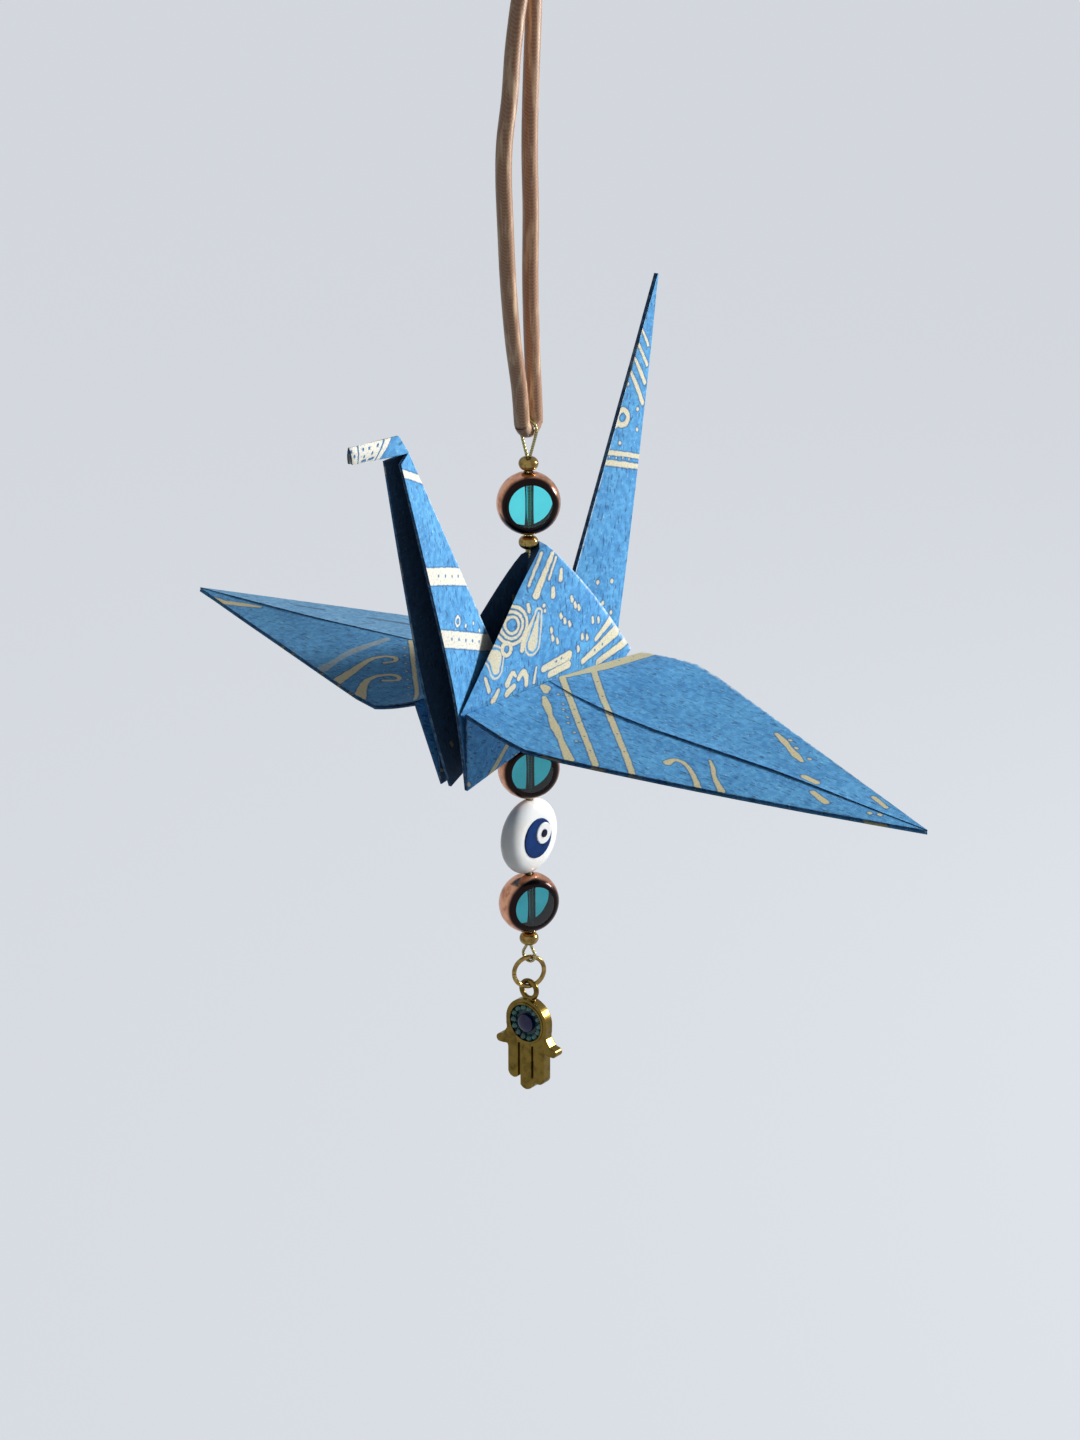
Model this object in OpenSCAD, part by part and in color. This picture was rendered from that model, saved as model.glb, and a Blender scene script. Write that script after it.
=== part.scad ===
// Origami crane ornament: a crane folded from one square of patterned paper,
// threaded on a doubled wire between glass beads, with a hand charm below and
// a doubled satin cord above. Millimetres, +Z up, +X towards the crane's head.
// The origin is the point where the cord's loop hangs on its hook.

/* [Crane] */
// Side of the square of paper that the crane is folded from
paper_side = 120; // [105:1:150]
// Thickness of a doubled panel, as in the wings and the body
panel_t = 0.36; // [0.25:0.01:0.5]
// Thickness of one half of the neck or tail, four layers of paper
point_t = 0.56; // [0.4:0.01:0.8]
// Angle at the tip of the narrowed points that become neck and tail
point_angle = 13.8; // [12:0.1:15]
// Width of the opened body across the two wing hinges
body_open = 7.0; // [5:0.1:9]
// Width of the opened body at the belly edges
belly_open = 2.8; // [2.4:0.1:4]
// Drop of the belly corners below the middle of the belly edge
belly_dip = 3; // [0.5:0.1:4]
// Width across the hump's shoulders, where the opened body rounds over below its peak
shoulder_open = 3.1; // [2:0.1:4]
// Gap between the hump and the wing fold in front of it
hinge_slit = 0.8; // [0.5:0.05:1.2]
// Diameter of the needle hole through the peak
thread_hole = 1.3; // [1.15:0.05:1.8]

/* [Wings] */
// Droop of the left wing below level, in degrees
left_droop = 11.9; // [-10:0.1:25]
// Droop of the right wing below level, in degrees
right_droop = -2.8; // [-10:0.1:25]
// Turn of the left wing towards the tail, in degrees
left_sweep = 7; // [-8:0.1:10]
// Turn of the right wing towards the head, in degrees
right_sweep = 1.5; // [-8:0.1:10]
// Height of the left wing's centre crease above its widest corners
left_ridge = 0; // [-1:0.1:3]
// Height of the right wing's centre crease above its widest corners
right_ridge = 1.4; // [-1:0.1:3]
// Twist of the left wing about its crease that lifts its tail side, in degrees
left_twist = 2.3; // [-5:0.1:5]

/* [Neck and tail] */
// Lean of the neck from upright, in degrees
neck_lean = 14.9; // [8:0.1:30]
// Length of the neck from its foot to the head fold
neck_len = 45; // [38:0.5:52]
// Depth of the neck at the head fold
neck_top_w = 2.8; // [1.5:0.1:4]
// Lean of the tail from upright, in degrees
tail_lean = 12.1; // [6:0.1:30]
// Length of the tail from its foot to its tip
tail_len = 59.3; // [45:0.1:60]
// Width between the two front edges of the neck where it bulges
neck_bulge = 5.1; // [3:0.1:6]
// Width between the two front edges of the neck at the head fold
neck_gap = 2.7; // [1:0.1:4]
// Width between the two back edges of the tail where it bulges
tail_bulge = 2.5; // [2:0.1:5]
// Width across the two halves where the neck or tail leaves the belly
foot_open = 2.8; // [2:0.1:4]
// Length of the beak beyond the head fold
head_len = 9.5; // [6:0.5:12]
// Rise of the beak above level, in degrees
head_lift = 8; // [-20:1:30]
// Depth of the beak at its blunt end
beak_end = 1.7; // [0.8:0.1:2.2]

/* [Beads] */
// Diameter of the three flat glass beads
glass_d = 8; // [6:0.1:10]
// Thickness of the glass beads
glass_t = 4; // [3:0.1:5]
// Diameter of the flat polished window on each face
window_d = 5.4; // [4:0.1:6]
// Diameter of the eye bead
eye_d = 10; // [7:0.1:12]
// Thickness of the eye bead at its rim's root
eye_t = 3; // [2.4:0.1:4.5]
// Diameter of the blue disc fused on each face of the eye bead
iris_d = 5.5; // [4:0.1:6.5]
// How far the eye's white disc and pupil lie to one side of the blue disc's centre
eye_shift = 0.9; // [0:0.1:1]
// How far they lie above it
eye_rise = 0.4; // [0:0.1:0.6]
// Height of each disc of the eye above the one under it
eye_step = 0.12; // [0.05:0.01:0.25]
// Bore of the glass and eye beads
bead_bore = 1.1; // [1.05:0.05:1.5]
// Diameter of the small gold crimp beads
crimp_d = 2.5; // [2:0.1:3]
// Height of the crimp beads
crimp_h = 1.7; // [1.2:0.1:2.2]
// Gap between beads that turn on the wire
bead_gap = 0.15; // [0.1:0.01:0.4]

/* [Bead turns] */
// Turn of the top glass bead's window from the head direction, in degrees
top_turn = 46; // [0:1:180]
// Turn of the middle glass bead
middle_turn = 52; // [0:1:180]
// Turn of the eye bead
eye_turn = 88; // [0:1:180]
// Turn of the bottom glass bead
bottom_turn = 62; // [0:1:180]

/* [Wire and rings] */
// Diameter of the stringing wire
wire_d = 0.4; // [0.3:0.05:0.45]
// Gap between the two strands of wire inside the beads
strand_gap = 0.05; // [0.03:0.01:0.1]
// Distance from the cord's bight down to the first crimp bead
eye_drop = 3.4; // [3:0.1:6]
// Radius of the wire eye that carries the jump ring
end_eye_r = 0.95; // [0.85:0.05:1.5]
// Distance from the last crimp bead down to the bottom of the wire eye
end_eye_drop = 2.4; // [2.3:0.1:4]
// Outer diameter of the jump ring
ring_d = 4.7; // [4.2:0.1:7]
// Wire diameter of the jump ring
ring_wire = 0.6; // [0.4:0.05:0.7]
// Turn of the jump ring's face from the head direction, in degrees
ring_turn = 57; // [50:1:65]
// Width of the cut where the jump ring was closed
ring_cut = 0.12; // [0.05:0.01:0.3]

/* [Charm] */
// Thickness of the charm's plate
charm_t = 1.5; // [1.2:0.1:2]
// Width across the two thumbs
charm_w = 9.8; // [8.6:0.1:12]
// Height of the plate from its crown to the middle fingertip
charm_h = 12.8; // [12:0.1:16]
// Radius of the palm's round crown
palm_r = 3.3; // [3.1:0.1:4]
// Width of the middle finger
finger_w = 2.2; // [1.6:0.1:2.4]
// Width of the grooves between the fingers
groove_w = 0.4; // [0.2:0.05:0.6]
// How much shorter the outer fingers are than the middle one
finger_step = 1.2; // [0.3:0.1:2]
// Outer diameter of the charm's own loop
loop_d = 3.1; // [2.9:0.1:4]
// Wire diameter of the charm's own loop
loop_wire = 0.7; // [0.5:0.05:0.8]
// Radius of the round setting in the palm
setting_r = 2.6; // [2.2:0.05:2.9]
// Depth of the setting
setting_depth = 0.4; // [0.2:0.05:0.5]
// Diameter of one small stone in the setting's ring
stone_d = 0.88; // [0.6:0.02:1.0]
// Diameter of the centre stone
centre_stone_d = 2.5; // [1.8:0.1:3]

/* [Cord] */
// Diameter of the satin cord
cord_d = 2; // [1.5:0.1:2.2]
// Width of the knot that closes the cord's loop
knot_d = 7.4; // [6:0.1:9]
// Thickness of the knot from front to back
knot_t = 5.4; // [4.6:0.1:6]
// Height of the knot
knot_h = 5.6; // [4:0.1:8]
// Length of the two loose ends above the knot
tail_end = 7; // [3:0.5:15]

/* [Hidden] */

// Clearance of a seat: a stone in its setting, a crimp bead on the wire
seat = 0.03;
// Clearance between linked wires, rings and the cord
link = 0.06;
// Facets round a true curve, round a paper fold and round a thin tube
smooth = 48;
fold_sides = 8;
tube_sides = 8;
// Facets round a ring's wire and round a small stone
wire_sides = 24;
stone_sides = 24;

// Cord route in the XZ plane: down the back strand, round the bight, up the front strand
cord_bight_z = -54.5;
cord_route = [
    [-1.2, 0, 1], [-1.2, 0, -4], [-1.3, 0, -12], [-1.3, 0, -20], [-1.3, 0, -28], [-1.3, 0, -36],
    [-1.3, 0, -44], [-1.3, 0, -50], [-1.3, 0, -53.2], [-1.2, 0, -53.7], [-0.9, 0, -54.1],
    [-0.5, 0, -54.4], [0, 0, cord_bight_z], [0.5, 0, -54.4],
    [0.9, 0, -54.1], [1.2, 0, -53.7], [1.3, 0, -53.2], [1.6, 0, -49], [2.4, 0, -43], [3.2, 0, -36],
    [3.7, 0, -29], [3.8, 0, -23], [3.5, 0, -17], [2.7, 0, -11], [1.8, 0, -5], [1.2, 0, -1.6],
    [1.2, 0, 1]
];

// Folded crane, worked out from the square of paper with the peak at its centre
half = paper_side / 2;
petal = sqrt(2) - 1;
taper = tan(point_angle);
hump_w = half * sqrt(2) * taper / (1 + taper);
hinge_rise = half * petal - hump_w;
hinge_drop = sqrt(pow(hump_w, 2) - pow(body_open / 2, 2));
waist_drop = sqrt(pow(hinge_rise, 2) - pow((body_open - belly_open) / 2, 2));
waist_w = half * taper;
kink_rise = half * (petal - taper) / (petal + taper);
kink_w = petal * (half - kink_rise);
kink_out = kink_rise - hinge_rise;
wing_len = half - hinge_rise;
// Opened body: how far its ends draw in, and where its shoulders are on the way down from the peak
draw_in = 0.5;
shoulder_share = 0.22;
// Neck and tail: spine's place in the body, bulge's share of the length
valley_x = 1.6;
spine_y = 0.2;
spine_share = 0.55;
bulge_at = 0.36;
edge_y = point_t * 0.9;
// Head fold: how far the crown and the chin stand in front of and above the nape, as shares of the
// neck's depth
crown_ahead = 0.54;
crown_above = 0.8;
chin_ahead = 1.7;
chin_above = 0.12;
beak_back = 0.2;
// How far the hump runs down behind the wing fold before it meets the side panel
hump_y = body_open / 2 - hinge_slit;
tuck = hinge_slit / (hump_y / hinge_drop + (body_open - belly_open) / 2 / waist_drop);
tuck_k = 1 + tuck / hinge_drop;

// Heights down the string, from the cord's bight to the end of the charm
strand = (wire_d + strand_gap) / 2;
top_eye_r = cord_d / 2 + wire_d / 2 + link;
top_crimp_z = cord_bight_z - eye_drop - crimp_h / 2;
top_bead_z = top_crimp_z - crimp_h / 2 - bead_gap - glass_d / 2;
peak_crimp_z = top_bead_z - glass_d / 2 - bead_gap - crimp_h / 2;
peak_z = peak_crimp_z - crimp_h / 2 - bead_gap - panel_t / 2;
belly_z = peak_z - hinge_drop - waist_drop;
middle_bead_z = belly_z - panel_t / 2 - bead_gap - glass_d / 2;
eye_bead_z = middle_bead_z - glass_d / 2 - bead_gap - eye_d / 2;
bottom_bead_z = eye_bead_z - eye_d / 2 - bead_gap - glass_d / 2;
end_crimp_z = bottom_bead_z - glass_d / 2 - bead_gap - crimp_h / 2;
end_eye_z = end_crimp_z - crimp_h / 2 - end_eye_drop;
ring_r = (ring_d - ring_wire) / 2;
ring_z = end_eye_z + (wire_d + ring_wire) / 2 + link - ring_r;
loop_r = (loop_d - loop_wire) / 2;
loop_z = ring_z - ring_r + (ring_wire + loop_wire) / 2 + link - loop_r;
crown_z = loop_z - loop_d / 2 + loop_wire / 2;

peak = [0, 0, 0];
function hinge_corner(end, side) = [end * hump_w, side * body_open / 2, -hinge_drop];
function hump_corner(end, side) = [end * hump_w, side * hump_y, -hinge_drop];
function shoulder(end, side) =
    [end * hump_w * shoulder_share, side * shoulder_open / 2, -hinge_drop * shoulder_share];
function tuck_corner(end, side) =
    [end * (hump_w - tuck), side * hump_y * tuck_k, -hinge_drop * tuck_k];
function belly_middle(side) = [0, side * belly_open / 2, -hinge_drop - waist_drop];
function belly_corner(end, side) =
    [end * (waist_w - draw_in), side * belly_open / 2, -hinge_drop - waist_drop - belly_dip];
function valley(end) = [end * valley_x, 0, -hinge_drop - waist_drop / 2];

// A wing's own directions: out along its centre crease, and across it
function wing_out(side, droop, sweep) =
    [-side * sin(sweep), side * cos(droop) * cos(sweep), -sin(droop)];
function wing_point(side, droop, sweep, out, along, down) =
    [along, side * body_open / 2, -hinge_drop - down] + out * wing_out(side, droop, sweep);

// A point on the neck (end = 1) or tail (end = -1): how far up it, how deep and how far aside
function point_at(end, lean, up, depth, aside) =
    [end * (waist_w - draw_in + up * sin(lean) - depth * cos(lean)), aside,
     -hinge_drop - waist_drop - belly_dip + up * cos(lean) + depth * sin(lean)];
function spine_foot(end, side) = [end * valley_x, side * spine_y, -hinge_drop - waist_drop * spine_share];

function unit(v) = v / norm(v);
function turn_points(n) = [for (i = [0:n - 1]) 360 * i / n];

// Direction of a path at one of its points; a closed path wraps round
function heading(path, i, closed) =
    let (n = len(path),
         before = closed ? (i + n - 1) % n : max(i - 1, 0),
         after = closed ? (i + 1) % n : min(i + 1, n - 1))
    unit(path[after] - path[before]);

// One solid tube along a path that stays near the plane across the given direction
module tube(path, d, across, closed = false) {
    n = len(path);
    points = [for (i = [0:n - 1])
        let (t = heading(path, i, closed), u = unit(cross(t, across)), v = cross(t, u))
        for (a = turn_points(tube_sides)) path[i] + d / 2 * (cos(a) * u + sin(a) * v)];
    walls = [for (i = [0:n - (closed ? 1 : 2)], k = [0:tube_sides - 1])
        let (j = (i + 1) % n, m = (k + 1) % tube_sides)
        [i * tube_sides + k, j * tube_sides + k, j * tube_sides + m, i * tube_sides + m]];
    caps = closed ? [] : [
        [for (k = [0:tube_sides - 1]) k],
        [for (k = [tube_sides - 1:-1:0]) (n - 1) * tube_sides + k]];
    polyhedron(points, concat(walls, caps));
}

// A flat piece of folded paper with rounded edges between its corners
module panel(corners, t = panel_t) {
    hull() for (p = corners) translate(p) sphere(d = t, $fn = fold_sides);
}

// Half of the hump, the side panel below the wing and the valleys at both ends
module body_side(side) {
    panel([peak, shoulder(1, side), shoulder(-1, side)]);
    panel([shoulder(1, side), shoulder(-1, side), hump_corner(1, side), hump_corner(-1, side)]);
    panel([hump_corner(1, side), hump_corner(-1, side), tuck_corner(1, side), tuck_corner(-1, side)]);
    panel([hinge_corner(1, side), hinge_corner(-1, side), belly_middle(side)]);
    for (end = [1, -1]) {
        panel([hinge_corner(end, side), belly_corner(end, side), belly_middle(side)]);
        panel([peak, shoulder(end, side), valley(end)]);
        panel([shoulder(end, side), hump_corner(end, side), valley(end)]);
        panel([hump_corner(end, side), tuck_corner(end, side), valley(end)]);
        panel([tuck_corner(end, side), belly_corner(end, side), valley(end)]);
    }
}

// One wing: two faces that meet on the raised centre crease
module wing(side, droop, sweep, ridge, twist = 0) {
    root = wing_point(side, droop, sweep, 0, 0, 0);
    tip = wing_point(side, droop, sweep, wing_len, 0, 0);
    for (end = [1, -1]) {
        kink = wing_point(side, droop, sweep, kink_out, end * kink_w, ridge + end * kink_w * sin(twist));
        panel([root, hinge_corner(end, side), kink]);
        panel([root, kink, tip]);
    }
}

// One half of the neck or tail, open along its outer edge and closed along its spine
module point_half(end, side, lean, length, top_w, top_open, bulge) {
    foot = point_at(end, lean, 0, 0, side * foot_open / 2);
    belly = point_at(end, lean, length * bulge_at, 0, side * bulge / 2);
    top_edge = point_at(end, lean, length, 0, side * top_open / 2);
    top_spine = point_at(end, lean, length, top_w, side * spine_y);
    panel([foot, belly, spine_foot(end, side)], point_t);
    panel([belly, top_spine, spine_foot(end, side)], point_t);
    panel([belly, top_edge, top_spine], point_t);
}

// The beak: the end of the neck folded forwards over itself
module head() {
    rise = [cos(head_lift), 0, sin(head_lift)];
    for (side = [1, -1]) {
        nape = point_at(1, neck_lean, neck_len, neck_top_w, side * spine_y);
        chin = nape + [neck_top_w * chin_ahead, side * (edge_y - spine_y), neck_top_w * chin_above];
        crown = nape + neck_top_w * [crown_ahead, 0, crown_above];
        beak_top = crown + head_len * rise;
        beak_low = beak_top + [-beak_back, side * edge_y / 2, -beak_end];
        panel([nape, crown, chin], point_t);
        panel([crown, chin, beak_top, beak_low], point_t);
    }
}

module crane() {
    color("steelblue")
    translate([0, 0, peak_z])
    difference() {
        union() {
            for (side = [1, -1]) {
                body_side(side);
                point_half(1, side, neck_lean, neck_len, neck_top_w, neck_gap, neck_bulge);
                point_half(-1, side, tail_lean, tail_len, point_t, 2 * edge_y, tail_bulge);
            }
            wing(1, left_droop, left_sweep, left_ridge, left_twist);
            wing(-1, right_droop, right_sweep, right_ridge);
            head();
        }
        translate([0, 0, -hinge_drop - waist_drop - belly_dip - panel_t])
            cylinder(d = thread_hole, h = hinge_drop + waist_drop + belly_dip + 3 * panel_t,
                     $fn = smooth);
    }
}

module hanging_cord() {
    color("peru") tube(cord_route, cord_d, [0, 1, 0]);
}

// Overhand knot drawn as its outer shape: two rounded wraps side by side, each with a loose end above it
module cord_knot() {
    knot_z = cord_route[0][2];
    round_r = min(knot_h, knot_t) * 0.4;
    splay = 8;
    color("peru") for (side = [1, -1]) {
        translate([side * (knot_d - knot_t) / 2, 0, knot_z])
            rotate_extrude($fn = smooth)
                intersection() {
                    translate([0, knot_h / 2]) offset(r = round_r)
                        square([knot_t - 2 * round_r, knot_h - 2 * round_r], center = true);
                    square([knot_t, knot_h]);
                }
        translate([side * (cord_d / 2 + link), 0, knot_z + knot_h - round_r])
            rotate([0, side * splay, 0])
                cylinder(d = cord_d, h = round_r + tail_end, $fn = smooth);
    }
}

// Points round an eye of wire, from one angle to another
function eye_arc(r, z, from, to, steps = 10) = [
    for (i = [0:steps]) let (a = from + (to - from) * i / steps) [0, r * cos(a), z + r * sin(a)]];

// A doubled wire: round the cord at the top, down through the beads, and an eye at the end
module bead_wire() {
    top_wrap = 20;
    end_wrap = 30;
    crimp_top = top_crimp_z + crimp_h / 2;
    crimp_end = end_crimp_z - crimp_h / 2;
    path = concat(
        eye_arc(top_eye_r, cord_bight_z, -top_wrap, 180 + top_wrap),
        [[0, -strand, crimp_top], [0, -strand, crimp_end]],
        eye_arc(end_eye_r, end_eye_z + end_eye_r, 180 - end_wrap, 360 + end_wrap),
        [[0, strand, crimp_end], [0, strand, crimp_top]]);
    color("darkkhaki") tube(path, wire_d, [1, 0, 0], closed = true);
}

// A small gold bead pressed round both strands of the wire
module crimp_bead(z) {
    bore_r = strand + wire_d / 2 + seat;
    round_r = crimp_h * 0.42;
    color("gold") translate([0, 0, z])
        rotate_extrude($fn = smooth)
            intersection() {
                translate([-crimp_d / 2, 0]) offset(r = round_r)
                    square([2 * (crimp_d - round_r), crimp_h - 2 * round_r], center = true);
                translate([bore_r, -crimp_h / 2]) square([crimp_d / 2 - bore_r, crimp_h]);
            }
}

module top_crimp_bead() { crimp_bead(top_crimp_z); }
module peak_crimp_bead() { crimp_bead(peak_crimp_z); }
module end_crimp_bead() { crimp_bead(end_crimp_z); }

// Half section of a flat round bead: a flat face and a rim that is round like an ellipse
function rim(d, t, flat_d, steps = 8) = [
    for (i = [0:2 * steps]) let (a = 90 - 90 * i / steps)
        [flat_d / 2 + (d - flat_d) / 2 * cos(a), t / 2 * sin(a)]];

module flat_bead(d, t, flat_d) {
    rotate([0, 90, 0])
        rotate_extrude($fn = smooth)
            polygon(concat([[0, t / 2]], rim(d, t, flat_d), [[0, -t / 2]]));
}

module drilled(z, turn, d) {
    translate([0, 0, z]) rotate([0, 0, turn]) difference() {
        children();
        cylinder(d = bead_bore, h = d + 1, center = true, $fn = smooth);
    }
}

module glass_bead(z, turn) {
    color("darkcyan") drilled(z, turn, glass_d) flat_bead(glass_d, glass_t, window_d);
}

module top_glass_bead() { glass_bead(top_bead_z, top_turn); }
module middle_glass_bead() { glass_bead(middle_bead_z, middle_turn); }
module bottom_glass_bead() { glass_bead(bottom_bead_z, bottom_turn); }

// White glass bead with an eye of stacked discs fused on both faces
module eye_bead() {
    blue_d = iris_d * 0.96;
    white_d = iris_d * 0.52;
    pupil_d = iris_d * 0.2;
    color("white") drilled(eye_bead_z, eye_turn, eye_d) {
        union() {
            flat_bead(eye_d, eye_t, iris_d);
            rotate([0, 90, 0]) {
                cylinder(d = blue_d, h = eye_t + 2 * eye_step, center = true, $fn = smooth);
                translate([-eye_rise, eye_shift, 0]) {
                    cylinder(d = white_d, h = eye_t + 4 * eye_step, center = true, $fn = smooth);
                    cylinder(d = pupil_d, h = eye_t + 6 * eye_step, center = true, $fn = smooth);
                }
            }
        }
    }
}

// A ring of round wire standing upright, its face turned from the head direction
module wire_ring(r, d, z, turn) {
    translate([0, 0, z]) rotate([0, 0, turn]) rotate([0, 90, 0])
        rotate_extrude($fn = smooth) translate([r, 0]) circle(d = d, $fn = wire_sides);
}

module jump_ring() {
    color("gold") difference() {
        wire_ring(ring_r, ring_wire, ring_z, ring_turn);
        translate([0, 0, ring_z]) rotate([0, 0, ring_turn]) translate([0, -ring_r, 0])
            cube([2 * ring_wire, 2 * ring_wire, ring_cut], center = true);
    }
}

// Outline of the hand, its crown at the origin and its fingers down -Y
module hand_outline() {
    palm_y = -palm_r;
    root_y = -charm_h * 0.52;
    outer_w = finger_w * 0.85;
    outer_x = finger_w / 2 + outer_w / 2;
    cuff = charm_w * 0.076;
    thumb_tip = cuff * 0.8;
    translate([0, palm_y]) circle(r = palm_r);
    polygon([[-palm_r, palm_y], [palm_r, palm_y],
             [outer_x + outer_w / 2, root_y - 1], [-outer_x - outer_w / 2, root_y - 1]]);
    finger(0, root_y, finger_w, charm_h);
    for (side = [1, -1]) {
        finger(side * outer_x, root_y, outer_w, charm_h - finger_step);
        hull() {
            translate([side * (charm_w / 2 - thumb_tip), root_y + 0.1]) circle(r = thumb_tip);
            translate([side * (outer_x - 0.2), root_y + 0.5]) circle(r = cuff);
        }
        polygon([[side * palm_r * 0.9, palm_y - palm_r * 0.35], [side * 1, root_y],
                 [side * (charm_w / 2 - cuff), root_y + 0.4]]);
    }
}

module finger(x, root_y, w, reach) {
    translate([x - w / 2, -reach + w / 2]) square([w, reach + root_y - w / 2 + 1]);
    translate([x, -reach + w / 2]) circle(d = w);
}

// Gold hand with its own loop, grooves between the fingers and a round setting
module hamsa_charm() {
    groove_deep = charm_t * 0.28;
    groove_top = -charm_h * 0.5;
    color("goldenrod") {
        wire_ring(loop_r, loop_wire, loop_z, 0);
        translate([0, 0, crown_z]) rotate([90, 0, 90]) difference() {
            translate([0, 0, -charm_t / 2]) linear_extrude(charm_t) hand_outline($fn = smooth);
            for (side = [1, -1], face = [1, -1])
                translate([side * finger_w / 2 - groove_w / 2, -charm_h,
                           face * (charm_t / 2 - groove_deep / 2) - groove_deep / 2])
                    cube([groove_w, charm_h + groove_top, groove_deep]);
            translate([0, -palm_r, charm_t / 2 - setting_depth])
                cylinder(r = setting_r, h = setting_depth + 1, $fn = smooth);
        }
    }
}

// Places a stone on the floor of the setting, its crown facing the head direction
module in_setting(y, z) {
    translate([charm_t / 2 - setting_depth + seat, y, crown_z - palm_r + z])
        rotate([0, 90, 0]) children();
}

// Ring of small cut stones round the centre stone
module ring_stones() {
    row_r = setting_r - seat - stone_d / 2;
    count = floor(180 / asin((stone_d / 2 + seat) / row_r));
    girdle = setting_depth * 0.8;
    table_d = stone_d / 2;
    color("teal") for (a = turn_points(count))
        in_setting(row_r * cos(a), row_r * sin(a)) {
            cylinder(d = stone_d, h = girdle, $fn = stone_sides);
            translate([0, 0, girdle])
                cylinder(d1 = stone_d, d2 = table_d, h = stone_d * 0.3, $fn = stone_sides);
        }
}

// Domed centre stone, as wide as the ring of stones leaves room for
module centre_stone() {
    d = min(centre_stone_d, 2 * (setting_r - stone_d - 3 * seat));
    dome = d * 0.22;
    dome_r = (pow(d / 2, 2) + pow(dome, 2)) / (2 * dome);
    color("navy") in_setting(0, 0) {
        cylinder(d = d, h = setting_depth, $fn = smooth);
        translate([0, 0, setting_depth]) intersection() {
            translate([0, 0, dome - dome_r]) sphere(r = dome_r, $fn = smooth);
            cylinder(d = d, h = dome + 1, $fn = smooth);
        }
    }
}

crane();
hanging_cord();
cord_knot();
bead_wire();
top_crimp_bead();
peak_crimp_bead();
end_crimp_bead();
top_glass_bead();
middle_glass_bead();
bottom_glass_bead();
eye_bead();
jump_ring();
hamsa_charm();
ring_stones();
centre_stone();
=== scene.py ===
"""Looks of the origami crane ornament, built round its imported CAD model.

Sizes in the classes are millimetres in the part's own frame: the origin is the point
where the cord's loop hangs, +Z is up along the string and +X points to the crane's head.
"""
import logging
import math
from collections.abc import Callable, Sequence
from dataclasses import dataclass, field
from enum import Enum, Flag
from functools import cached_property, reduce

import bmesh
import bpy
from mathutils import Matrix, Vector, noise


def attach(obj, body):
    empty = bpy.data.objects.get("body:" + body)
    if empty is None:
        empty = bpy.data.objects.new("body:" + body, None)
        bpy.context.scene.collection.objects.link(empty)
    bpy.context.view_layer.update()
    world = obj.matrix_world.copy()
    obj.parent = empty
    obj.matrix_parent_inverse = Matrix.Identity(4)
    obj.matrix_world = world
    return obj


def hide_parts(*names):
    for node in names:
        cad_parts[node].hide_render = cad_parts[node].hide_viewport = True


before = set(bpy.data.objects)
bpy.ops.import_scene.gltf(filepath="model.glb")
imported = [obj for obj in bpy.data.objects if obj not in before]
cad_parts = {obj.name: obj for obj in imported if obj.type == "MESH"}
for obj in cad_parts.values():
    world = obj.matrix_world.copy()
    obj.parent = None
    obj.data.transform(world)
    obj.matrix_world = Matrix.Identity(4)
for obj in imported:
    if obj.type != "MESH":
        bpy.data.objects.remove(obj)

log = logging.getLogger("crane_ornament")
MM = 0.001
# Millimetres of flat sheet in one unit of the print's map.
SHEET_SPAN = 100.0
# Edges that turn by more degrees than this stay sharp, unless a piece says otherwise.
SHARP = 30.0
# Points closer than this, in metres, are one point: in turned shapes, and along the paper's folds.
WELD = 1e-7
FOLD_WELD = 1e-6
DRILL_LENGTH = 14.0
GLASS_IOR = 1.52
# Sockets of a Mix node that hold its two colours and its result.
MIX_COLOURS = (6, 7)
MIX_RESULT = 2
# Strokes of the print: a dot's short run, a curl's steps and a seed's half length and radii.
DOT_RUN = 0.01
CURL_STEPS = 3
SEED_HALF = (0.06, 0.22)
SEED_RADII = (0.2, 0.26)
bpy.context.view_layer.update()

Colour = tuple[float, float, float]
Flat = tuple[float, float]
Spot = tuple[float, float, float]
Value = bpy.types.NodeSocket | float | Sequence[float]


class Body(Enum):
    """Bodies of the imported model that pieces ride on."""

    STRING = "string"
    CRANE = "crane"
    TOP_BEAD = "top_bead"
    MIDDLE_BEAD = "middle_bead"
    EYE_BEAD = "eye_bead"
    BOTTOM_BEAD = "bottom_bead"
    RING = "ring"
    CHARM = "charm"


class Slot(Enum):
    """Material slots of the record."""

    PAPER = "printed_paper"
    CORD = "satin_cord"
    WIRE = "wire"
    GOLD = "gold"
    GLASS = "teal_glass"
    WHITE = "white_glass"
    STONE = "teal_stone"
    CENTRE = "blue_stone"


class Patch(Enum):
    """Parts of the printed sheet, each with its own print; the value is the material index."""

    HUMP = 0
    LEFT_WING = 1
    RIGHT_WING = 2
    NECK = 3
    TAIL = 4
    HEAD = 5
    BELLY = 6
    # Paper inside the folds, its colours darkened as painted shade.
    INSIDE = 7
    # The far wing's tail half, its paper colours painted lighter as painted light.
    PALE_WING = 8
    EDGE = 9


class Edge(Flag):
    """Edges of a laid panel: its first and last line across, its foot and its tip."""

    NONE = 0
    FIRST = 1
    LAST = 2
    FOOT = 4
    TIP = 8


def link(obj: bpy.types.Object) -> bpy.types.Object:
    """Puts an object in the scene and returns it."""
    bpy.context.scene.collection.objects.link(obj)
    return obj


def settle(obj: bpy.types.Object, body: Body, slot: Slot, *nodes: str) -> None:
    """Ties a finished piece to its body and hides the nodes it stands for.

    Args:
        obj: The finished piece, in place.
        body: The body that it moves with.
        slot: The record's material slot for its finish; not used.
        nodes: CAD nodes that it replaces.
    """
    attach(obj, body.value)
    if nodes:
        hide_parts(*nodes)
    log.info("%s rides on %s", obj.name, body.value)


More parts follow.
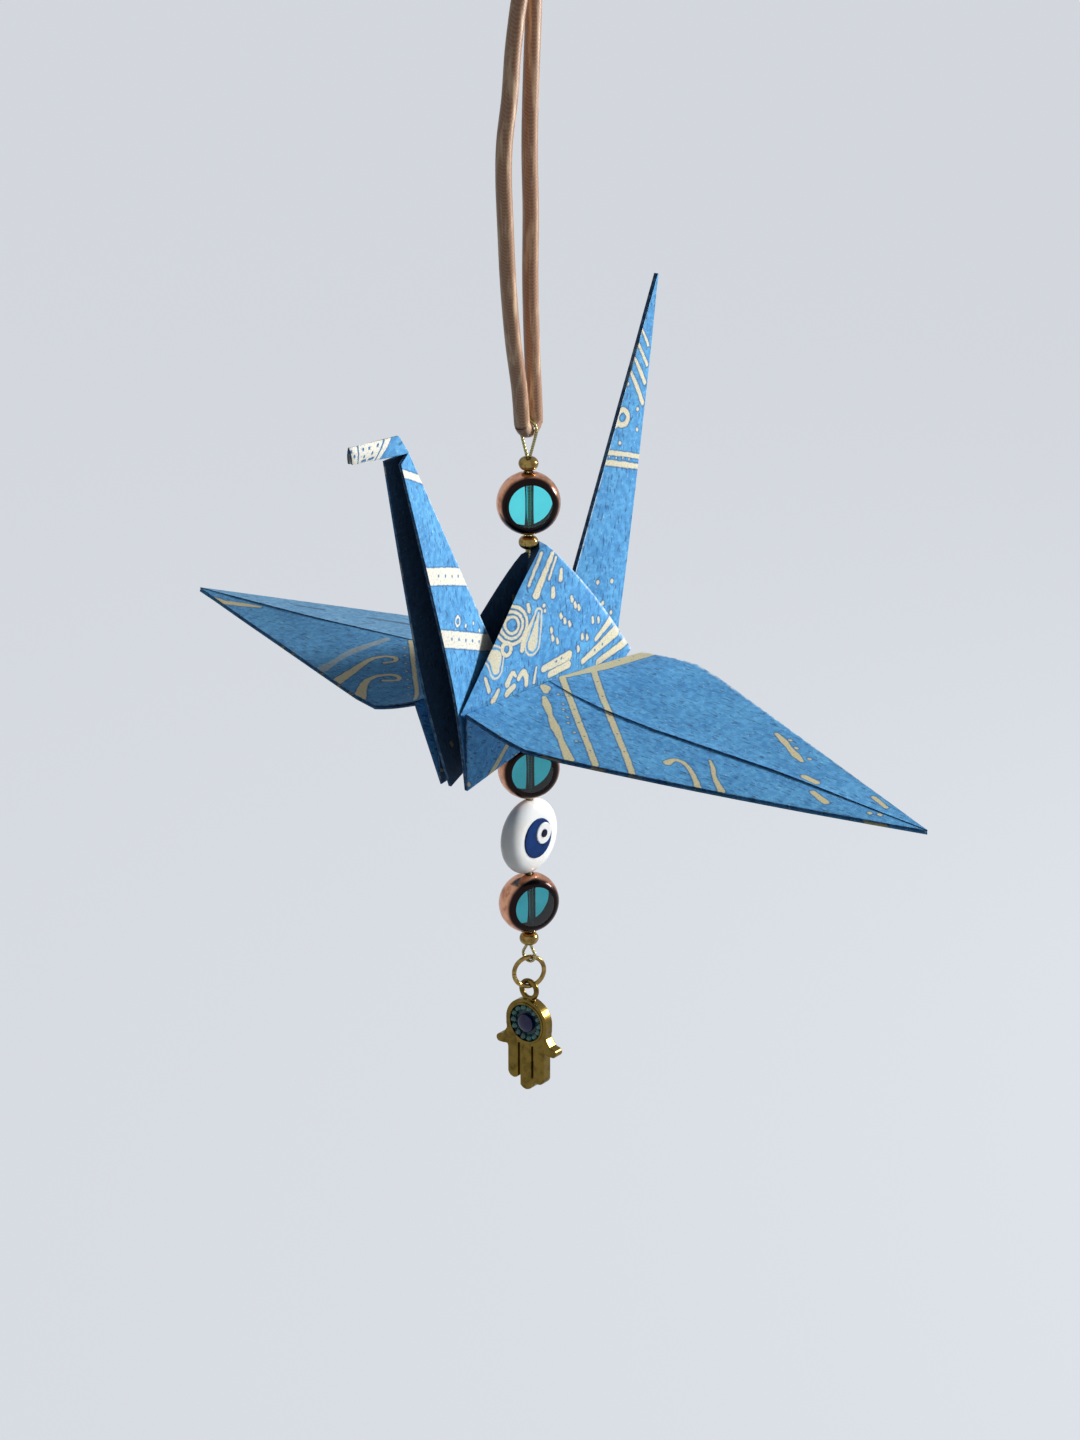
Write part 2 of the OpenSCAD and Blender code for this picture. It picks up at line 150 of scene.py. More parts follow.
def piece_from(shape: bmesh.types.BMesh | bpy.types.Mesh, name: str, *finishes: bpy.types.Material,
               sharp: float = SHARP) -> bpy.types.Object:
    """Makes a smooth-shaded object.

    Args:
        shape: The finished mesh, in metres, or a bmesh, which is freed.
        name: The piece's name.
        finishes: Its materials, in slot order.
        sharp: Edges that turn by more than this many degrees stay sharp.

    Returns:
        The new object, in the scene.
    """
    mesh = shape
    if isinstance(shape, bmesh.types.BMesh):
        mesh = bpy.data.meshes.new(name)
        shape.to_mesh(mesh)
        shape.free()
    mesh.name = name
    if mesh.materials:
        mesh.materials.clear()
    for finish in finishes:
        mesh.materials.append(finish)
    mesh.polygons.foreach_set("use_smooth", [True] * len(mesh.polygons))
    mesh.set_sharp_from_angle(angle=math.radians(sharp))
    return link(bpy.data.objects.new(name, mesh))


def evaluated(obj: bpy.types.Object) -> bpy.types.Mesh:
    """Makes a new mesh of an object as its modifiers leave it.

    Args:
        obj: An object with modifiers or a curve with a bevel.

    Returns:
        The mesh.
    """
    graph = bpy.context.evaluated_depsgraph_get()
    graph.update()
    return bpy.data.meshes.new_from_object(obj.evaluated_get(graph), depsgraph=graph)


def baked(obj: bpy.types.Object) -> bpy.types.Mesh:
    """Makes a mesh of a helper object as its modifiers leave it, and removes the object."""
    mesh = evaluated(obj)
    bpy.data.objects.remove(obj, do_unlink=True)
    return mesh


def joined(parts: Sequence[bpy.types.Mesh]) -> bmesh.types.BMesh:
    """Joins meshes, which are removed, into one shape.

    Args:
        parts: The meshes, in metres.

    Returns:
        The shape.
    """
    bm = bmesh.new()
    for part in parts:
        bm.from_mesh(part)
        bpy.data.meshes.remove(part)
    return bm


def lathe(profile: Sequence[Flat], closed: bool, steps: int = 64,
          place: Matrix | None = None) -> bmesh.types.BMesh:
    """Turns a profile round the Z axis.

    Args:
        profile: Points as radius and height in millimetres.
        closed: True where the last point joins the first, as round a bore.
        steps: Facets round the turn.
        place: Where the turned shape is put, if not at the origin.

    Returns:
        A closed shape in metres with its faces outwards.
    """
    bm = bmesh.new()
    verts = [bm.verts.new((r * MM, 0.0, h * MM)) for r, h in profile]
    edges = [bm.edges.new(pair) for pair in zip(verts, verts[1:])]
    if closed:
        edges.append(bm.edges.new((verts[-1], verts[0])))
    bmesh.ops.spin(bm, geom=verts + edges, cent=(0, 0, 0), axis=(0, 0, 1), angle=math.tau,
                   steps=steps, use_merge=True)
    bmesh.ops.remove_doubles(bm, verts=bm.verts, dist=WELD)
    bmesh.ops.recalc_face_normals(bm, faces=bm.faces)
    if place is not None:
        bmesh.ops.transform(bm, matrix=place, verts=bm.verts)
    return bm


def arc(centre: Flat, radii: Flat, start: float, stop: float, steps: int) -> list[Flat]:
    """Points along part of an ellipse.

    Args:
        centre: Its centre.
        radii: Its two half axes.
        start: First angle in degrees.
        stop: Last angle in degrees.
        steps: Number of stretches.

    Returns:
        The points, both ends included.
    """
    angles = [math.radians(start + (stop - start) * i / steps) for i in range(steps + 1)]
    return [(centre[0] + radii[0] * math.cos(a), centre[1] + radii[1] * math.sin(a)) for a in angles]


def mirrored(profile: Sequence[Flat]) -> list[Flat]:
    """The lower half of a profile whose upper half is given, from its far end back."""
    return [(r, -h) for r, h in reversed(profile)]


def upright(z: float, turn: float) -> Matrix:
    """Matrix that stands a turned disc on edge on the string.

    Args:
        z: Height of its centre in millimetres.
        turn: Turn of its face from the head direction, in degrees.

    Returns:
        The matrix, in metres.
    """
    place = Matrix.Translation((0, 0, z * MM))
    return place @ Matrix.Rotation(math.radians(turn), 4, "Z") @ Matrix.Rotation(math.pi / 2, 4, "Y")


def smooth_path(points: Sequence[Vector], per_span: int) -> list[Vector]:
    """Passes a smooth line through a few points.

    Args:
        points: The points to pass through.
        per_span: New points for each stretch between two of them.

    Returns:
        Points close together along the line, both ends included.
    """
    held = [points[0], *points, points[-1]]
    line = []
    for p0, p1, p2, p3 in zip(held, held[1:], held[2:], held[3:]):
        for k in range(per_span):
            t = k / per_span
            line.append(0.5 * (2 * p1 + (p2 - p0) * t + (2 * p0 - 5 * p1 + 4 * p2 - p3) * t ** 2
                               + (3 * p1 - p0 - 3 * p2 + p3) * t ** 3))
    return [*line, points[-1].copy()]


def tube(path: Sequence[Vector], radius: float, cyclic: bool = False, fineness: int = 4) -> bpy.types.Mesh:
    """Sweeps a round cord or wire along a path.

    Args:
        path: Points close together, in metres.
        radius: Radius in metres.
        cyclic: True for a closed loop.
        fineness: Fineness of the round section.

    Returns:
        The tube's mesh, its ends capped.
    """
    curve = bpy.data.curves.new("tube", "CURVE")
    curve.dimensions = "3D"
    curve.bevel_depth = radius
    curve.bevel_resolution = fineness
    curve.use_fill_caps = not cyclic
    spline = curve.splines.new("POLY")
    spline.points.add(len(path) - 1)
    for point, at in zip(spline.points, path):
        point.co = (*at, 1.0)
    spline.use_cyclic_u = cyclic
    return baked(link(bpy.data.objects.new("tube", curve)))


class NodeBench:
    """Adds and joins the nodes of one tree."""

    def __init__(self, tree: bpy.types.NodeTree) -> None:
        """Starts work on a tree."""
        self.tree = tree

    def feed(self, socket: bpy.types.NodeSocket, value: Value) -> None:
        """Joins a socket to a value: another socket, a number or a colour."""
        if isinstance(value, bpy.types.NodeSocket):
            self.tree.links.new(value, socket)
        else:
            socket.default_value = value

    def feed_all(self, node: bpy.types.Node, inputs: dict[str, Value]) -> None:
        """Sets a node's inputs by name; an underscore stands for a space."""
        for key, value in inputs.items():
            self.feed(node.inputs[key.replace("_", " ")], value)

    def add(self, kind: str, settings: dict[str, object] | None = None,
            **inputs: Value) -> bpy.types.Node:
        """Adds a node.

        Args:
            kind: Its type, without the ShaderNode prefix.
            settings: Properties of the node to set.
            inputs: Values for its inputs; an underscore stands for a space.

        Returns:
            The node.
        """
        node = self.tree.nodes.new("ShaderNode" + kind)
        for key, value in (settings or {}).items():
            setattr(node, key, value)
        self.feed_all(node, inputs)
        return node

    def operate(self, kind: str, operation: str, values: Sequence[Value]) -> bpy.types.Node:
        """Adds a node that works on values in order, and returns it."""
        node = self.add(kind, {"operation": operation})
        for socket, value in zip(node.inputs, values):
            self.feed(socket, value)
        return node

    def math(self, operation: str, *values: Value) -> bpy.types.NodeSocket:
        """Adds a Math node and returns its output."""
        return self.operate("Math", operation, values).outputs["Value"]

    def vector(self, operation: str, *values: Value) -> bpy.types.NodeSocket:
        """Adds a Vector Math node that gives a vector and returns its output."""
        return self.operate("VectorMath", operation, values).outputs["Vector"]

    def measure(self, operation: str, first: Value, second: Value) -> bpy.types.NodeSocket:
        """Adds a Vector Math node that gives a number and returns its output."""
        return self.operate("VectorMath", operation, (first, second)).outputs["Value"]

    def scale(self, vector: Value, factor: Value) -> bpy.types.NodeSocket:
        """Scales a vector and returns the result's socket."""
        node = self.operate("VectorMath", "SCALE", (vector,))
        self.feed(node.inputs["Scale"], factor)
        return node.outputs["Vector"]

    def stripes(self, place: Value, slant: Spot, rate: float) -> bpy.types.NodeSocket:
        """Waves from -1 to 1 across a slanting direction, as of twisted threads."""
        return self.math("SINE", self.math("MULTIPLY", self.measure("DOT_PRODUCT", place, slant), rate))

    def remap(self, value: Value, low: float, high: float, to_low: float = 0.0,
              to_high: float = 1.0) -> bpy.types.NodeSocket:
        """Eases a value from one range into another and returns the result's socket."""
        node = self.add("MapRange", {"interpolation_type": "SMOOTHSTEP"}, Value=value, From_Min=low,
                        From_Max=high, To_Min=to_low, To_Max=to_high)
        return node.outputs["Result"]

    def blend(self, share: Value, first: Value, second: Value) -> bpy.types.NodeSocket:
        """Mixes two colours and returns the result's socket."""
        node = self.add("Mix", {"data_type": "RGBA"})
        self.feed(node.inputs["Factor"], share)
        for index, colour in zip(MIX_COLOURS, (first, second)):
            self.feed(node.inputs[index], colour)
        return node.outputs[MIX_RESULT]

    def noise(self, place: Value, scale: float, detail: float = 2.0,
              roughness: float = 0.5) -> bpy.types.NodeSocket:
        """Adds a noise texture and returns its value."""
        node = self.add("TexNoise", Vector=place, Scale=scale, Detail=detail, Roughness=roughness)
        return node.outputs["Fac"]

    def bump(self, height: Value, strength: float, depth: float) -> bpy.types.NodeSocket:
        """Turns a height into a normal; depth is in millimetres."""
        node = self.add("Bump", Height=height, Strength=strength, Distance=depth * MM)
        return node.outputs["Normal"]

    def group(self, name: str, **inputs: Value) -> bpy.types.NodeOutputs:
        """Adds a node group by its name and returns its outputs."""
        return self.add("Group", {"node_tree": bpy.data.node_groups[name]}, **inputs).outputs

    def object_place(self) -> bpy.types.NodeSocket:
        """Object coordinates in millimetres."""
        return self.scale(self.add("TexCoord").outputs["Object"], 1 / MM)


class MaterialBench(NodeBench):
    """A material under construction, with its main shader."""

    def __init__(self, name: str) -> None:
        """Starts a material."""
        self.material = bpy.data.materials.new(name)
        self.material.use_nodes = True
        super().__init__(self.material.node_tree)
        self.shader = self.tree.nodes["Principled BSDF"]

    def dress(self, **inputs: Value) -> bpy.types.Material:
        """Sets inputs of the main shader, an underscore for a space, and returns the material."""
        self.feed_all(self.shader, inputs)
        return self.material


class EffectGroup(NodeBench):
    """A node group under construction, with its named sockets."""

    def __init__(self, name: str, takes: dict[str, str], gives: dict[str, str]) -> None:
        """Starts a group.

        Args:
            name: The group's name.
            takes: Its inputs and their kinds, such as Vector or Float.
            gives: Its outputs and their kinds.
        """
        tree = bpy.data.node_groups.new(name, "ShaderNodeTree")
        for direction, sockets in (("INPUT", takes), ("OUTPUT", gives)):
            for label, kind in sockets.items():
                tree.interface.new_socket(name=label, in_out=direction, socket_type="NodeSocket" + kind)
        super().__init__(tree)
        self.given = tree.nodes.new("NodeGroupInput").outputs
        self.result = tree.nodes.new("NodeGroupOutput").inputs


def rgba(colour: Colour) -> tuple[float, float, float, float]:
    """A colour with full alpha."""
    return (*colour, 1.0)


def make_stroke_group() -> None:
    """Makes the group that measures how far a place is from a tapered stroke, below 0 inside it."""
    group = EffectGroup("stroke_distance",
                        {"Place": "Vector", "Start": "Vector", "End": "Vector", "Start Radius": "Float",
                         "End Radius": "Float"}, {"Distance": "Float"})
    given = group.given
    away = group.vector("SUBTRACT", given["Place"], given["Start"])
    reach = group.vector("SUBTRACT", given["End"], given["Start"])
    along = group.measure("DOT_PRODUCT", away, reach)
    whole = group.measure("DOT_PRODUCT", reach, reach)
    share = group.add("Clamp", Value=group.math("DIVIDE", along, whole)).outputs["Result"]
    gap = group.measure("DISTANCE", away, group.scale(reach, share))
    grow = group.math("SUBTRACT", given["End Radius"], given["Start Radius"])
    radius = group.math("MULTIPLY_ADD", grow, share, given["Start Radius"])
    group.feed(group.result["Distance"], group.math("SUBTRACT", gap, radius))


def make_ring_group() -> None:
    """Makes the group that measures how far a place is from a printed ring, below 0 inside its line."""
    group = EffectGroup("ring_distance",
                        {"Place": "Vector", "Centre": "Vector", "Radius": "Float", "Half Width": "Float"},
                        {"Distance": "Float"})
    given = group.given
    gap = group.measure("DISTANCE", given["Place"], given["Centre"])
    off = group.math("ABSOLUTE", group.math("SUBTRACT", gap, given["Radius"]))
    group.feed(group.result["Distance"], group.math("SUBTRACT", off, given["Half Width"]))


def make_paper_group() -> None:
    """Makes the group for what every part of the sheet shares: mottling, wear of the ink and pulp."""
    group = EffectGroup("paper_sheet",
                        {"Place": "Vector", "Waver": "Float", "Shade": "Color", "Blue": "Color",
                         "Light": "Color", "Fibre": "Color"},
                        {"Moved": "Vector", "Ground": "Color", "Wear": "Float", "Speck": "Float",
                         "Rub": "Float", "Pulp": "Float"})
    given, result = group.given, group.result
    flat = given["Place"]
    cloud = group.add("TexNoise", Vector=flat, Scale=1.6, Detail=3.0).outputs["Color"]
    jitter = group.scale(group.vector("SUBTRACT", cloud, (0.5, 0.5, 0.5)), given["Waver"])
    group.feed(result["Moved"], group.vector("ADD", jitter, flat))
    broad = group.remap(group.noise(flat, 0.16, 3.0), 0.35, 0.68)
    mottle = group.remap(group.noise(flat, 1.05, 5.0, 0.66), 0.42, 0.62)
    colour = group.blend(group.math("MULTIPLY_ADD", broad, 0.3, group.math("MULTIPLY", mottle, 0.55)),
                         given["Blue"], given["Light"])
    stretched = group.vector("MULTIPLY", flat, (2.6, 0.7, 1.0))
    dashes = group.remap(group.noise(stretched, 1.1, 2.0), 0.58, 0.66)
    colour = group.blend(group.math("MULTIPLY", dashes, 0.75), colour, given["Shade"])
    flecks = group.remap(group.noise(flat, 1.9, 3.0, 0.6), 0.61, 0.70)
    group.feed(result["Ground"], group.blend(group.math("MULTIPLY", flecks, 0.55), colour, given["Fibre"]))
    group.feed(result["Wear"], group.remap(group.noise(flat, 3.2, 4.0, 0.7), 0.30, 0.46, 0.35, 1.0))
    group.feed(result["Speck"], group.remap(group.noise(flat, 5.0, 3.0), 0.35, 0.7))
    group.feed(result["Rub"], group.remap(group.noise(flat, 1.1), 0.3, 0.7))
    group.feed(result["Pulp"], group.noise(flat, 7.0, 4.0, 0.65))


def make_haze_group() -> None:
    """Makes the group for plated metal: broad cloudiness and fine scratches."""
    group = EffectGroup("metal_haze", {"Place": "Vector", "Cloud": "Float"},
                        {"Haze": "Float", "Fine": "Float"})
    given = group.given
    cloud = group.add("TexNoise", Vector=given["Place"], Scale=given["Cloud"], Detail=4.0, Roughness=0.6)
    group.feed(group.result["Haze"], group.remap(cloud.outputs["Fac"], 0.40, 0.72))
    drawn = group.vector("MULTIPLY", given["Place"], (14.0, 14.0, 2.2))
    group.feed(group.result["Fine"], group.noise(drawn, 1.0, 2.0))


def make_swirl_group() -> None:
    """Makes the group for bead glass: slow swirls of colour and the ripple of a fire-polished skin."""
    group = EffectGroup("glass_swirl", {"Place": "Vector", "Grain": "Float"},
                        {"Swirl": "Float", "Ripple": "Float"})
    given = group.given
    cloud = group.add("TexNoise", Vector=given["Place"], Scale=given["Grain"], Detail=4.0, Roughness=0.6)
    group.feed(group.result["Swirl"], group.remap(cloud.outputs["Fac"], 0.38, 0.7))
    group.feed(group.result["Ripple"], group.noise(given["Place"], 1.2, 2.0))


@dataclass(frozen=True)
class Stroke:
    """One tapered stroke of the print, in millimetres on the flat sheet."""

    start: Flat
    end: Flat
    start_r: float
    end_r: float


@dataclass(frozen=True)
class Ring:
    """One printed ring, in millimetres on the flat sheet."""

    centre: Flat
    radius: float
    half_width: float


Motif = Stroke | Ring


def brush(*points: Spot) -> tuple[Stroke, ...]:
    """Joins points, each with a radius, into a run of strokes; a single point is a dot."""
    if len(points) == 1:
        x, y, r = points[0]
        return (Stroke((x, y), (x, y + DOT_RUN), r, r),)
    return tuple(Stroke(a[:2], b[:2], a[2], b[2]) for a, b in zip(points, points[1:]))


def curl(*points: Spot) -> tuple[Stroke, ...]:
    """Joins points, each with a radius, into one smooth curve of strokes."""
    return brush(*(tuple(at) for at in smooth_path([Vector(point) for point in points], CURL_STEPS)))


def dots(radius: float, *places: Flat) -> tuple[Stroke, ...]:
    """Round dots of one size."""
    return tuple(stroke for x, y in places for stroke in brush((x, y, radius)))


def seeds(*places: Flat) -> tuple[Stroke, ...]:
    """Small slanting oval marks, as scattered over the print's open ground."""
    dx, dy = SEED_HALF
    return tuple(Stroke((x + dx, y - dy), (x - dx, y + dy), *SEED_RADII) for x, y in places)


@dataclass(frozen=True)
class SheetPrint:
    """What is printed on one part of the sheet: plain, outlined and rubbed ink, and marks left blue."""

    ink: tuple[Motif, ...] = ()
    outlined: tuple[Motif, ...] = ()
    faint: tuple[Motif, ...] = ()
    blanks: tuple[Motif, ...] = ()


HUMP_PRINT = SheetPrint(
    ink=(
        *brush((-1.1, 1.6, 0.31), (1.9, 5.4, 0.5)),
        *brush((-1.7, 2.1, 0.17), (-0.4, 4.1, 0.17)),
        *brush((0.4, 1.0, 0.2), (2.6, 3.8, 0.2)),
        *brush((-2.5, 3.7, 0.23), (-2.3, 4.7, 0.37)),
        *brush((-0.9, 5.4, 0.28), (-0.8, 6.3, 0.37)),
        *brush((3.4, 6.1, 0.22), (3.4, 7.0, 0.28)),
        *curl((2.7, 7.8, 0.12), (4.3, 9.6, 0.3), (4.9, 10.4, 0.38), (5.2, 11.4, 0.4)),
        *dots(0.25, (0.9, 7.0), (0.8, 7.7)),
        *curl((6.6, 14.3, 0.25), (7.2, 13.9, 0.36), (8.2, 15.0, 0.47)),
        *curl((6.0, 14.8, 0.34), (5.1, 14.2, 0.4), (4.5, 15.0, 0.42), (4.5, 15.9, 0.34)),
        *brush((9.9, 15.4, 0.25), (10.9, 16.4, 0.47)),
        *brush((7.0, 15.6, 0.39), (8.3, 16.2, 0.44)),
        *brush((12.1, 13.2, 0.2), (11.6, 15.0, 0.3)),
        *seeds((-4.1, 7.6), (-4.7, 8.5), (-5.4, 9.0), (-2.0, 9.1), (-2.7, 9.9), (-3.6, 10.5),
               (-0.2, 10.4), (-0.4, 11.4), (-1.3, 12.0), (-8.2, 11.2), (-9.4, 11.5), (-6.2, 12.7),
               (-7.2, 13.0), (-5.5, 14.0)),
        *brush((-12.1, 12.0, 0.53), (-9.1, 13.7, 0.3)),
        *brush((-13.4, 13.6, 0.75), (-6.6, 15.8, 0.35)),
        *brush((-15.6, 15.4, 0.5), (-9.8, 16.6, 0.4)),
        *brush((1.2, 14.8, 0.45), (-3.7, 14.4, 0.6)),
        *brush((0.0, 15.8, 0.42), (-3.7, 15.5, 0.45)),
        *brush((2.6, 14.3, 0.16), (3.0, 16.0, 0.25)),
        Ring((6.4, 7.9), 1.7, 0.2), Ring((6.4, 7.9), 1.05, 0.18), Ring((6.4, 7.9), 2.4, 0.22),
        Ring((7.9, 10.6), 0.75, 0.28),
    ),
    outlined=(
        *brush((1.9, 7.6, 0.08), (3.3, 11.2, 0.86)),
        *brush((10.0, 11.2, 1.1), (10.1, 12.7, 0.6)),
    ),
    blanks=(*dots(0.16, (-1.2, 14.5), (-2.2, 14.4), (-10.5, 14.6), (-9.0, 15.0)),),
)
LEFT_WING_PRINT = SheetPrint(
    ink=(
        *brush((2.2, 0.5, 0.7), (3.3, 1.2, 0.35)),
        *brush((4.6, 1.8, 0.3), (6.1, 3.0, 0.55), (8.0, 4.7, 0.32), (10.4, 6.9, 0.6), (12.6, 8.9, 0.34),
               (16.0, 12.1, 0.62)),
        *brush((-2.4, 0.0, 0.42), (14.9, 15.1, 0.40)),
        *brush((-8.4, 0.6, 0.42), (13.4, 19.4, 0.38)),
        *brush((-16.8, 3.3, 1.3), (-9.0, 2.2, 1.0), (-2.4, 0.7, 0.35)),
        *curl((8.0, 21.3, 0.5), (6.7, 21.6, 0.32), (6.6, 23.0, 0.3), (8.2, 25.0, 0.3), (10.6, 27.0, 0.42)),
        *curl((3.7, 24.9, 0.12), (5.0, 26.0, 0.26), (6.9, 27.2, 0.26), (9.2, 29.4, 0.46)),
        *brush((1.6, 38.0, 0.4), (2.6, 40.1, 0.5)),
        *dots(0.3, (0.7, 46.5), (1.2, 45.4)),
        *brush((-8.4, 27.9, 0.3), (-7.3, 29.5, 0.5), (-6.4, 30.6, 0.34), (-5.2, 32.2, 0.55),
               (-4.4, 33.4, 0.3)),
        *dots(0.28, (-8.2, 29.9), (-5.6, 33.9), (-6.9, 31.4)),
        *brush((-0.9, 35.6, 0.5), (-0.7, 37.2, 0.5)),
        *brush((-2.6, 44.2, 0.36), (-1.4, 46.3, 0.3)),
        *dots(0.17, (2.6, 2.6), (4.4, 4.4), (5.6, 5.2), (7.0, 6.6), (8.2, 7.4), (9.8, 9.2), (11.6, 10.5)),
    ),
    blanks=(*dots(0.13, (2.0, 3.8), (4.6, 6.1), (7.2, 8.3), (9.8, 10.6), (12.4, 12.9), (-4.0, 4.4),
                  (-1.0, 7.0), (2.6, 10.1), (6.2, 13.2), (9.6, 16.1), (-14.6, 2.4), (-12.0, 2.1)),),
)
RIGHT_WING_PRINT = SheetPrint(
    ink=(
        *brush((-1.2, 16.5, 0.28), (15.2, 2.2, 0.28)),
        *dots(0.16, (1.4, 15.4), (3.4, 13.7), (5.4, 12.0), (7.4, 10.3), (9.4, 8.5), (11.4, 6.8),
              (13.3, 5.2)),
        *curl((15.6, 15.4, 0.85), (10.6, 16.1, 0.58), (7.2, 16.6, 0.4), (5.2, 15.8, 0.3), (4.7, 14.3, 0.3),
              (5.7, 13.6, 0.28), (6.8, 14.4, 0.28)),
        *curl((18.0, 9.4, 0.85), (13.5, 12.2, 0.5), (11.0, 12.5, 0.36), (9.4, 11.4, 0.3), (9.3, 10.1, 0.3),
              (10.2, 9.4, 0.28), (11.4, 10.8, 0.28)),
        *brush((2.0, 47.8, 0.45), (2.3, 45.8, 0.6), (1.5, 42.8, 0.55), (0.9, 40.4, 0.25)),
        *brush((-3.0, 21.0, 0.25), (-11.0, 24.6, 0.3)),
        *brush((-5.4, 31.0, 0.5), (-6.4, 36.0, 0.3)),
        *brush((-9.4, 27.0, 0.2), (-6.0, 33.5, 0.2)),
        *seeds((-12.0, 8.0), (-8.0, 11.5), (-4.6, 26.0), (-3.0, 38.0)),
    ),
    faint=(*curl((12.9, 19.6, 0.9), (9.4, 20.0, 0.5), (5.9, 20.2, 0.7), (0.3, 19.2, 0.5)),),
)
LIT_WING_PRINT = SheetPrint(
    ink=(
        *brush((-5.8, 27.3, 0.16), (-7.4, 21.5, 0.26)),
        *brush((-7.8, 20.4, 0.22), (-8.3, 18.2, 0.24)),
        *brush((-3.0, 37.6, 0.13), (-4.2, 33.7, 0.16)),
        *brush((-11.6, 8.4, 0.2), (-10.4, 12.6, 0.24)),
    ),
    faint=(*brush((-1.6, 26.0, 0.3), (-4.2, 25.0, 0.24)),),
)
NECK_PRINT = SheetPrint(
    ink=(
        *brush((-1.0, 30.9, 1.0), (12.0, 23.4, 1.0)),
        *brush((-1.0, 22.5, 1.0), (13.5, 13.2, 1.0)),
        *brush((-0.5, 44.2, 0.42), (6.5, 39.0, 0.42)),
        *dots(0.22, (5.6, 20.4), (7.6, 19.6), (4.2, 22.4), (8.6, 18.0)),
        Ring((4.0, 21.9), 0.55, 0.14),
    ),
    blanks=(*dots(0.2, (2.2, 29.1), (3.7, 28.2), (5.2, 27.3), (6.7, 26.5), (1.8, 20.7), (3.3, 19.8),
                  (4.8, 18.8), (6.3, 17.9), (7.8, 16.9)),),
)
TAIL_PRINT = SheetPrint(
    ink=(
        *brush((8.6, 36.4, 0.3), (-0.6, 35.9, 0.3)),
        *brush((8.8, 35.1, 0.34), (-0.6, 34.6, 0.34)),
        Ring((3.9, 40.8), 0.95, 0.34),
        *brush((4.7, 40.0, 0.34), (5.6, 39.1, 0.26)),
        *brush((4.1, 47.6, 0.2), (0.5, 42.9, 0.34)),
        *brush((3.6, 49.2, 0.18), (0.5, 45.4, 0.3)),
        *brush((3.0, 50.9, 0.16), (0.5, 47.7, 0.26)),
        *brush((2.4, 52.6, 0.13), (0.6, 50.2, 0.22)),
        *dots(0.3, (5.3, 19.6), (7.5, 18.7), (2.6, 19.8), (3.9, 16.9), (2.0, 15.7), (6.0, 14.8)),
        *dots(0.24, (6.0, 37.7), (4.0, 37.5), (1.3, 42.0), (3.6, 45.0), (1.0, 39.4)),
        *dots(0.12, (6.8, 35.7), (5.6, 35.7), (4.4, 35.6), (3.2, 35.6), (2.0, 35.5)),
    ),
)
HEAD_PRINT = SheetPrint(
    ink=(
        *brush((1.9, -1.0, 0.55), (1.9, 3.0, 0.55)),
        *brush((5.0, -1.0, 2.2), (5.0, 3.0, 2.2)),
        *brush((8.6, -1.0, 1.1), (8.6, 3.0, 1.1)),
    ),
    blanks=(
        *dots(0.22, (3.6, 0.5), (4.3, 1.3), (5.2, 0.6), (6.0, 1.5), (6.4, 0.6), (8.2, 1.2), (8.6, 0.5)),
        *brush((3.4, 1.9, 0.14), (4.6, 1.95, 0.14)),
        *brush((5.4, 2.0, 0.14), (6.4, 2.0, 0.14)),
    ),
)
BELLY_PRINT = SheetPrint(
    ink=(
        *brush((1.0, 6.4, 0.4), (9.0, 8.6, 0.5), (16.0, 7.6, 0.4)),
        *seeds((3.0, 3.4), (6.2, 5.0), (11.0, 5.4), (14.0, 10.6), (8.0, 11.8), (20.0, 12.0)),
    ),
)
INSIDE_PRINT = SheetPrint(
    ink=(*seeds((2.0, 5.0), (4.0, 9.0), (7.0, 12.0), (9.0, 6.0), (12.0, 10.0)),),
)


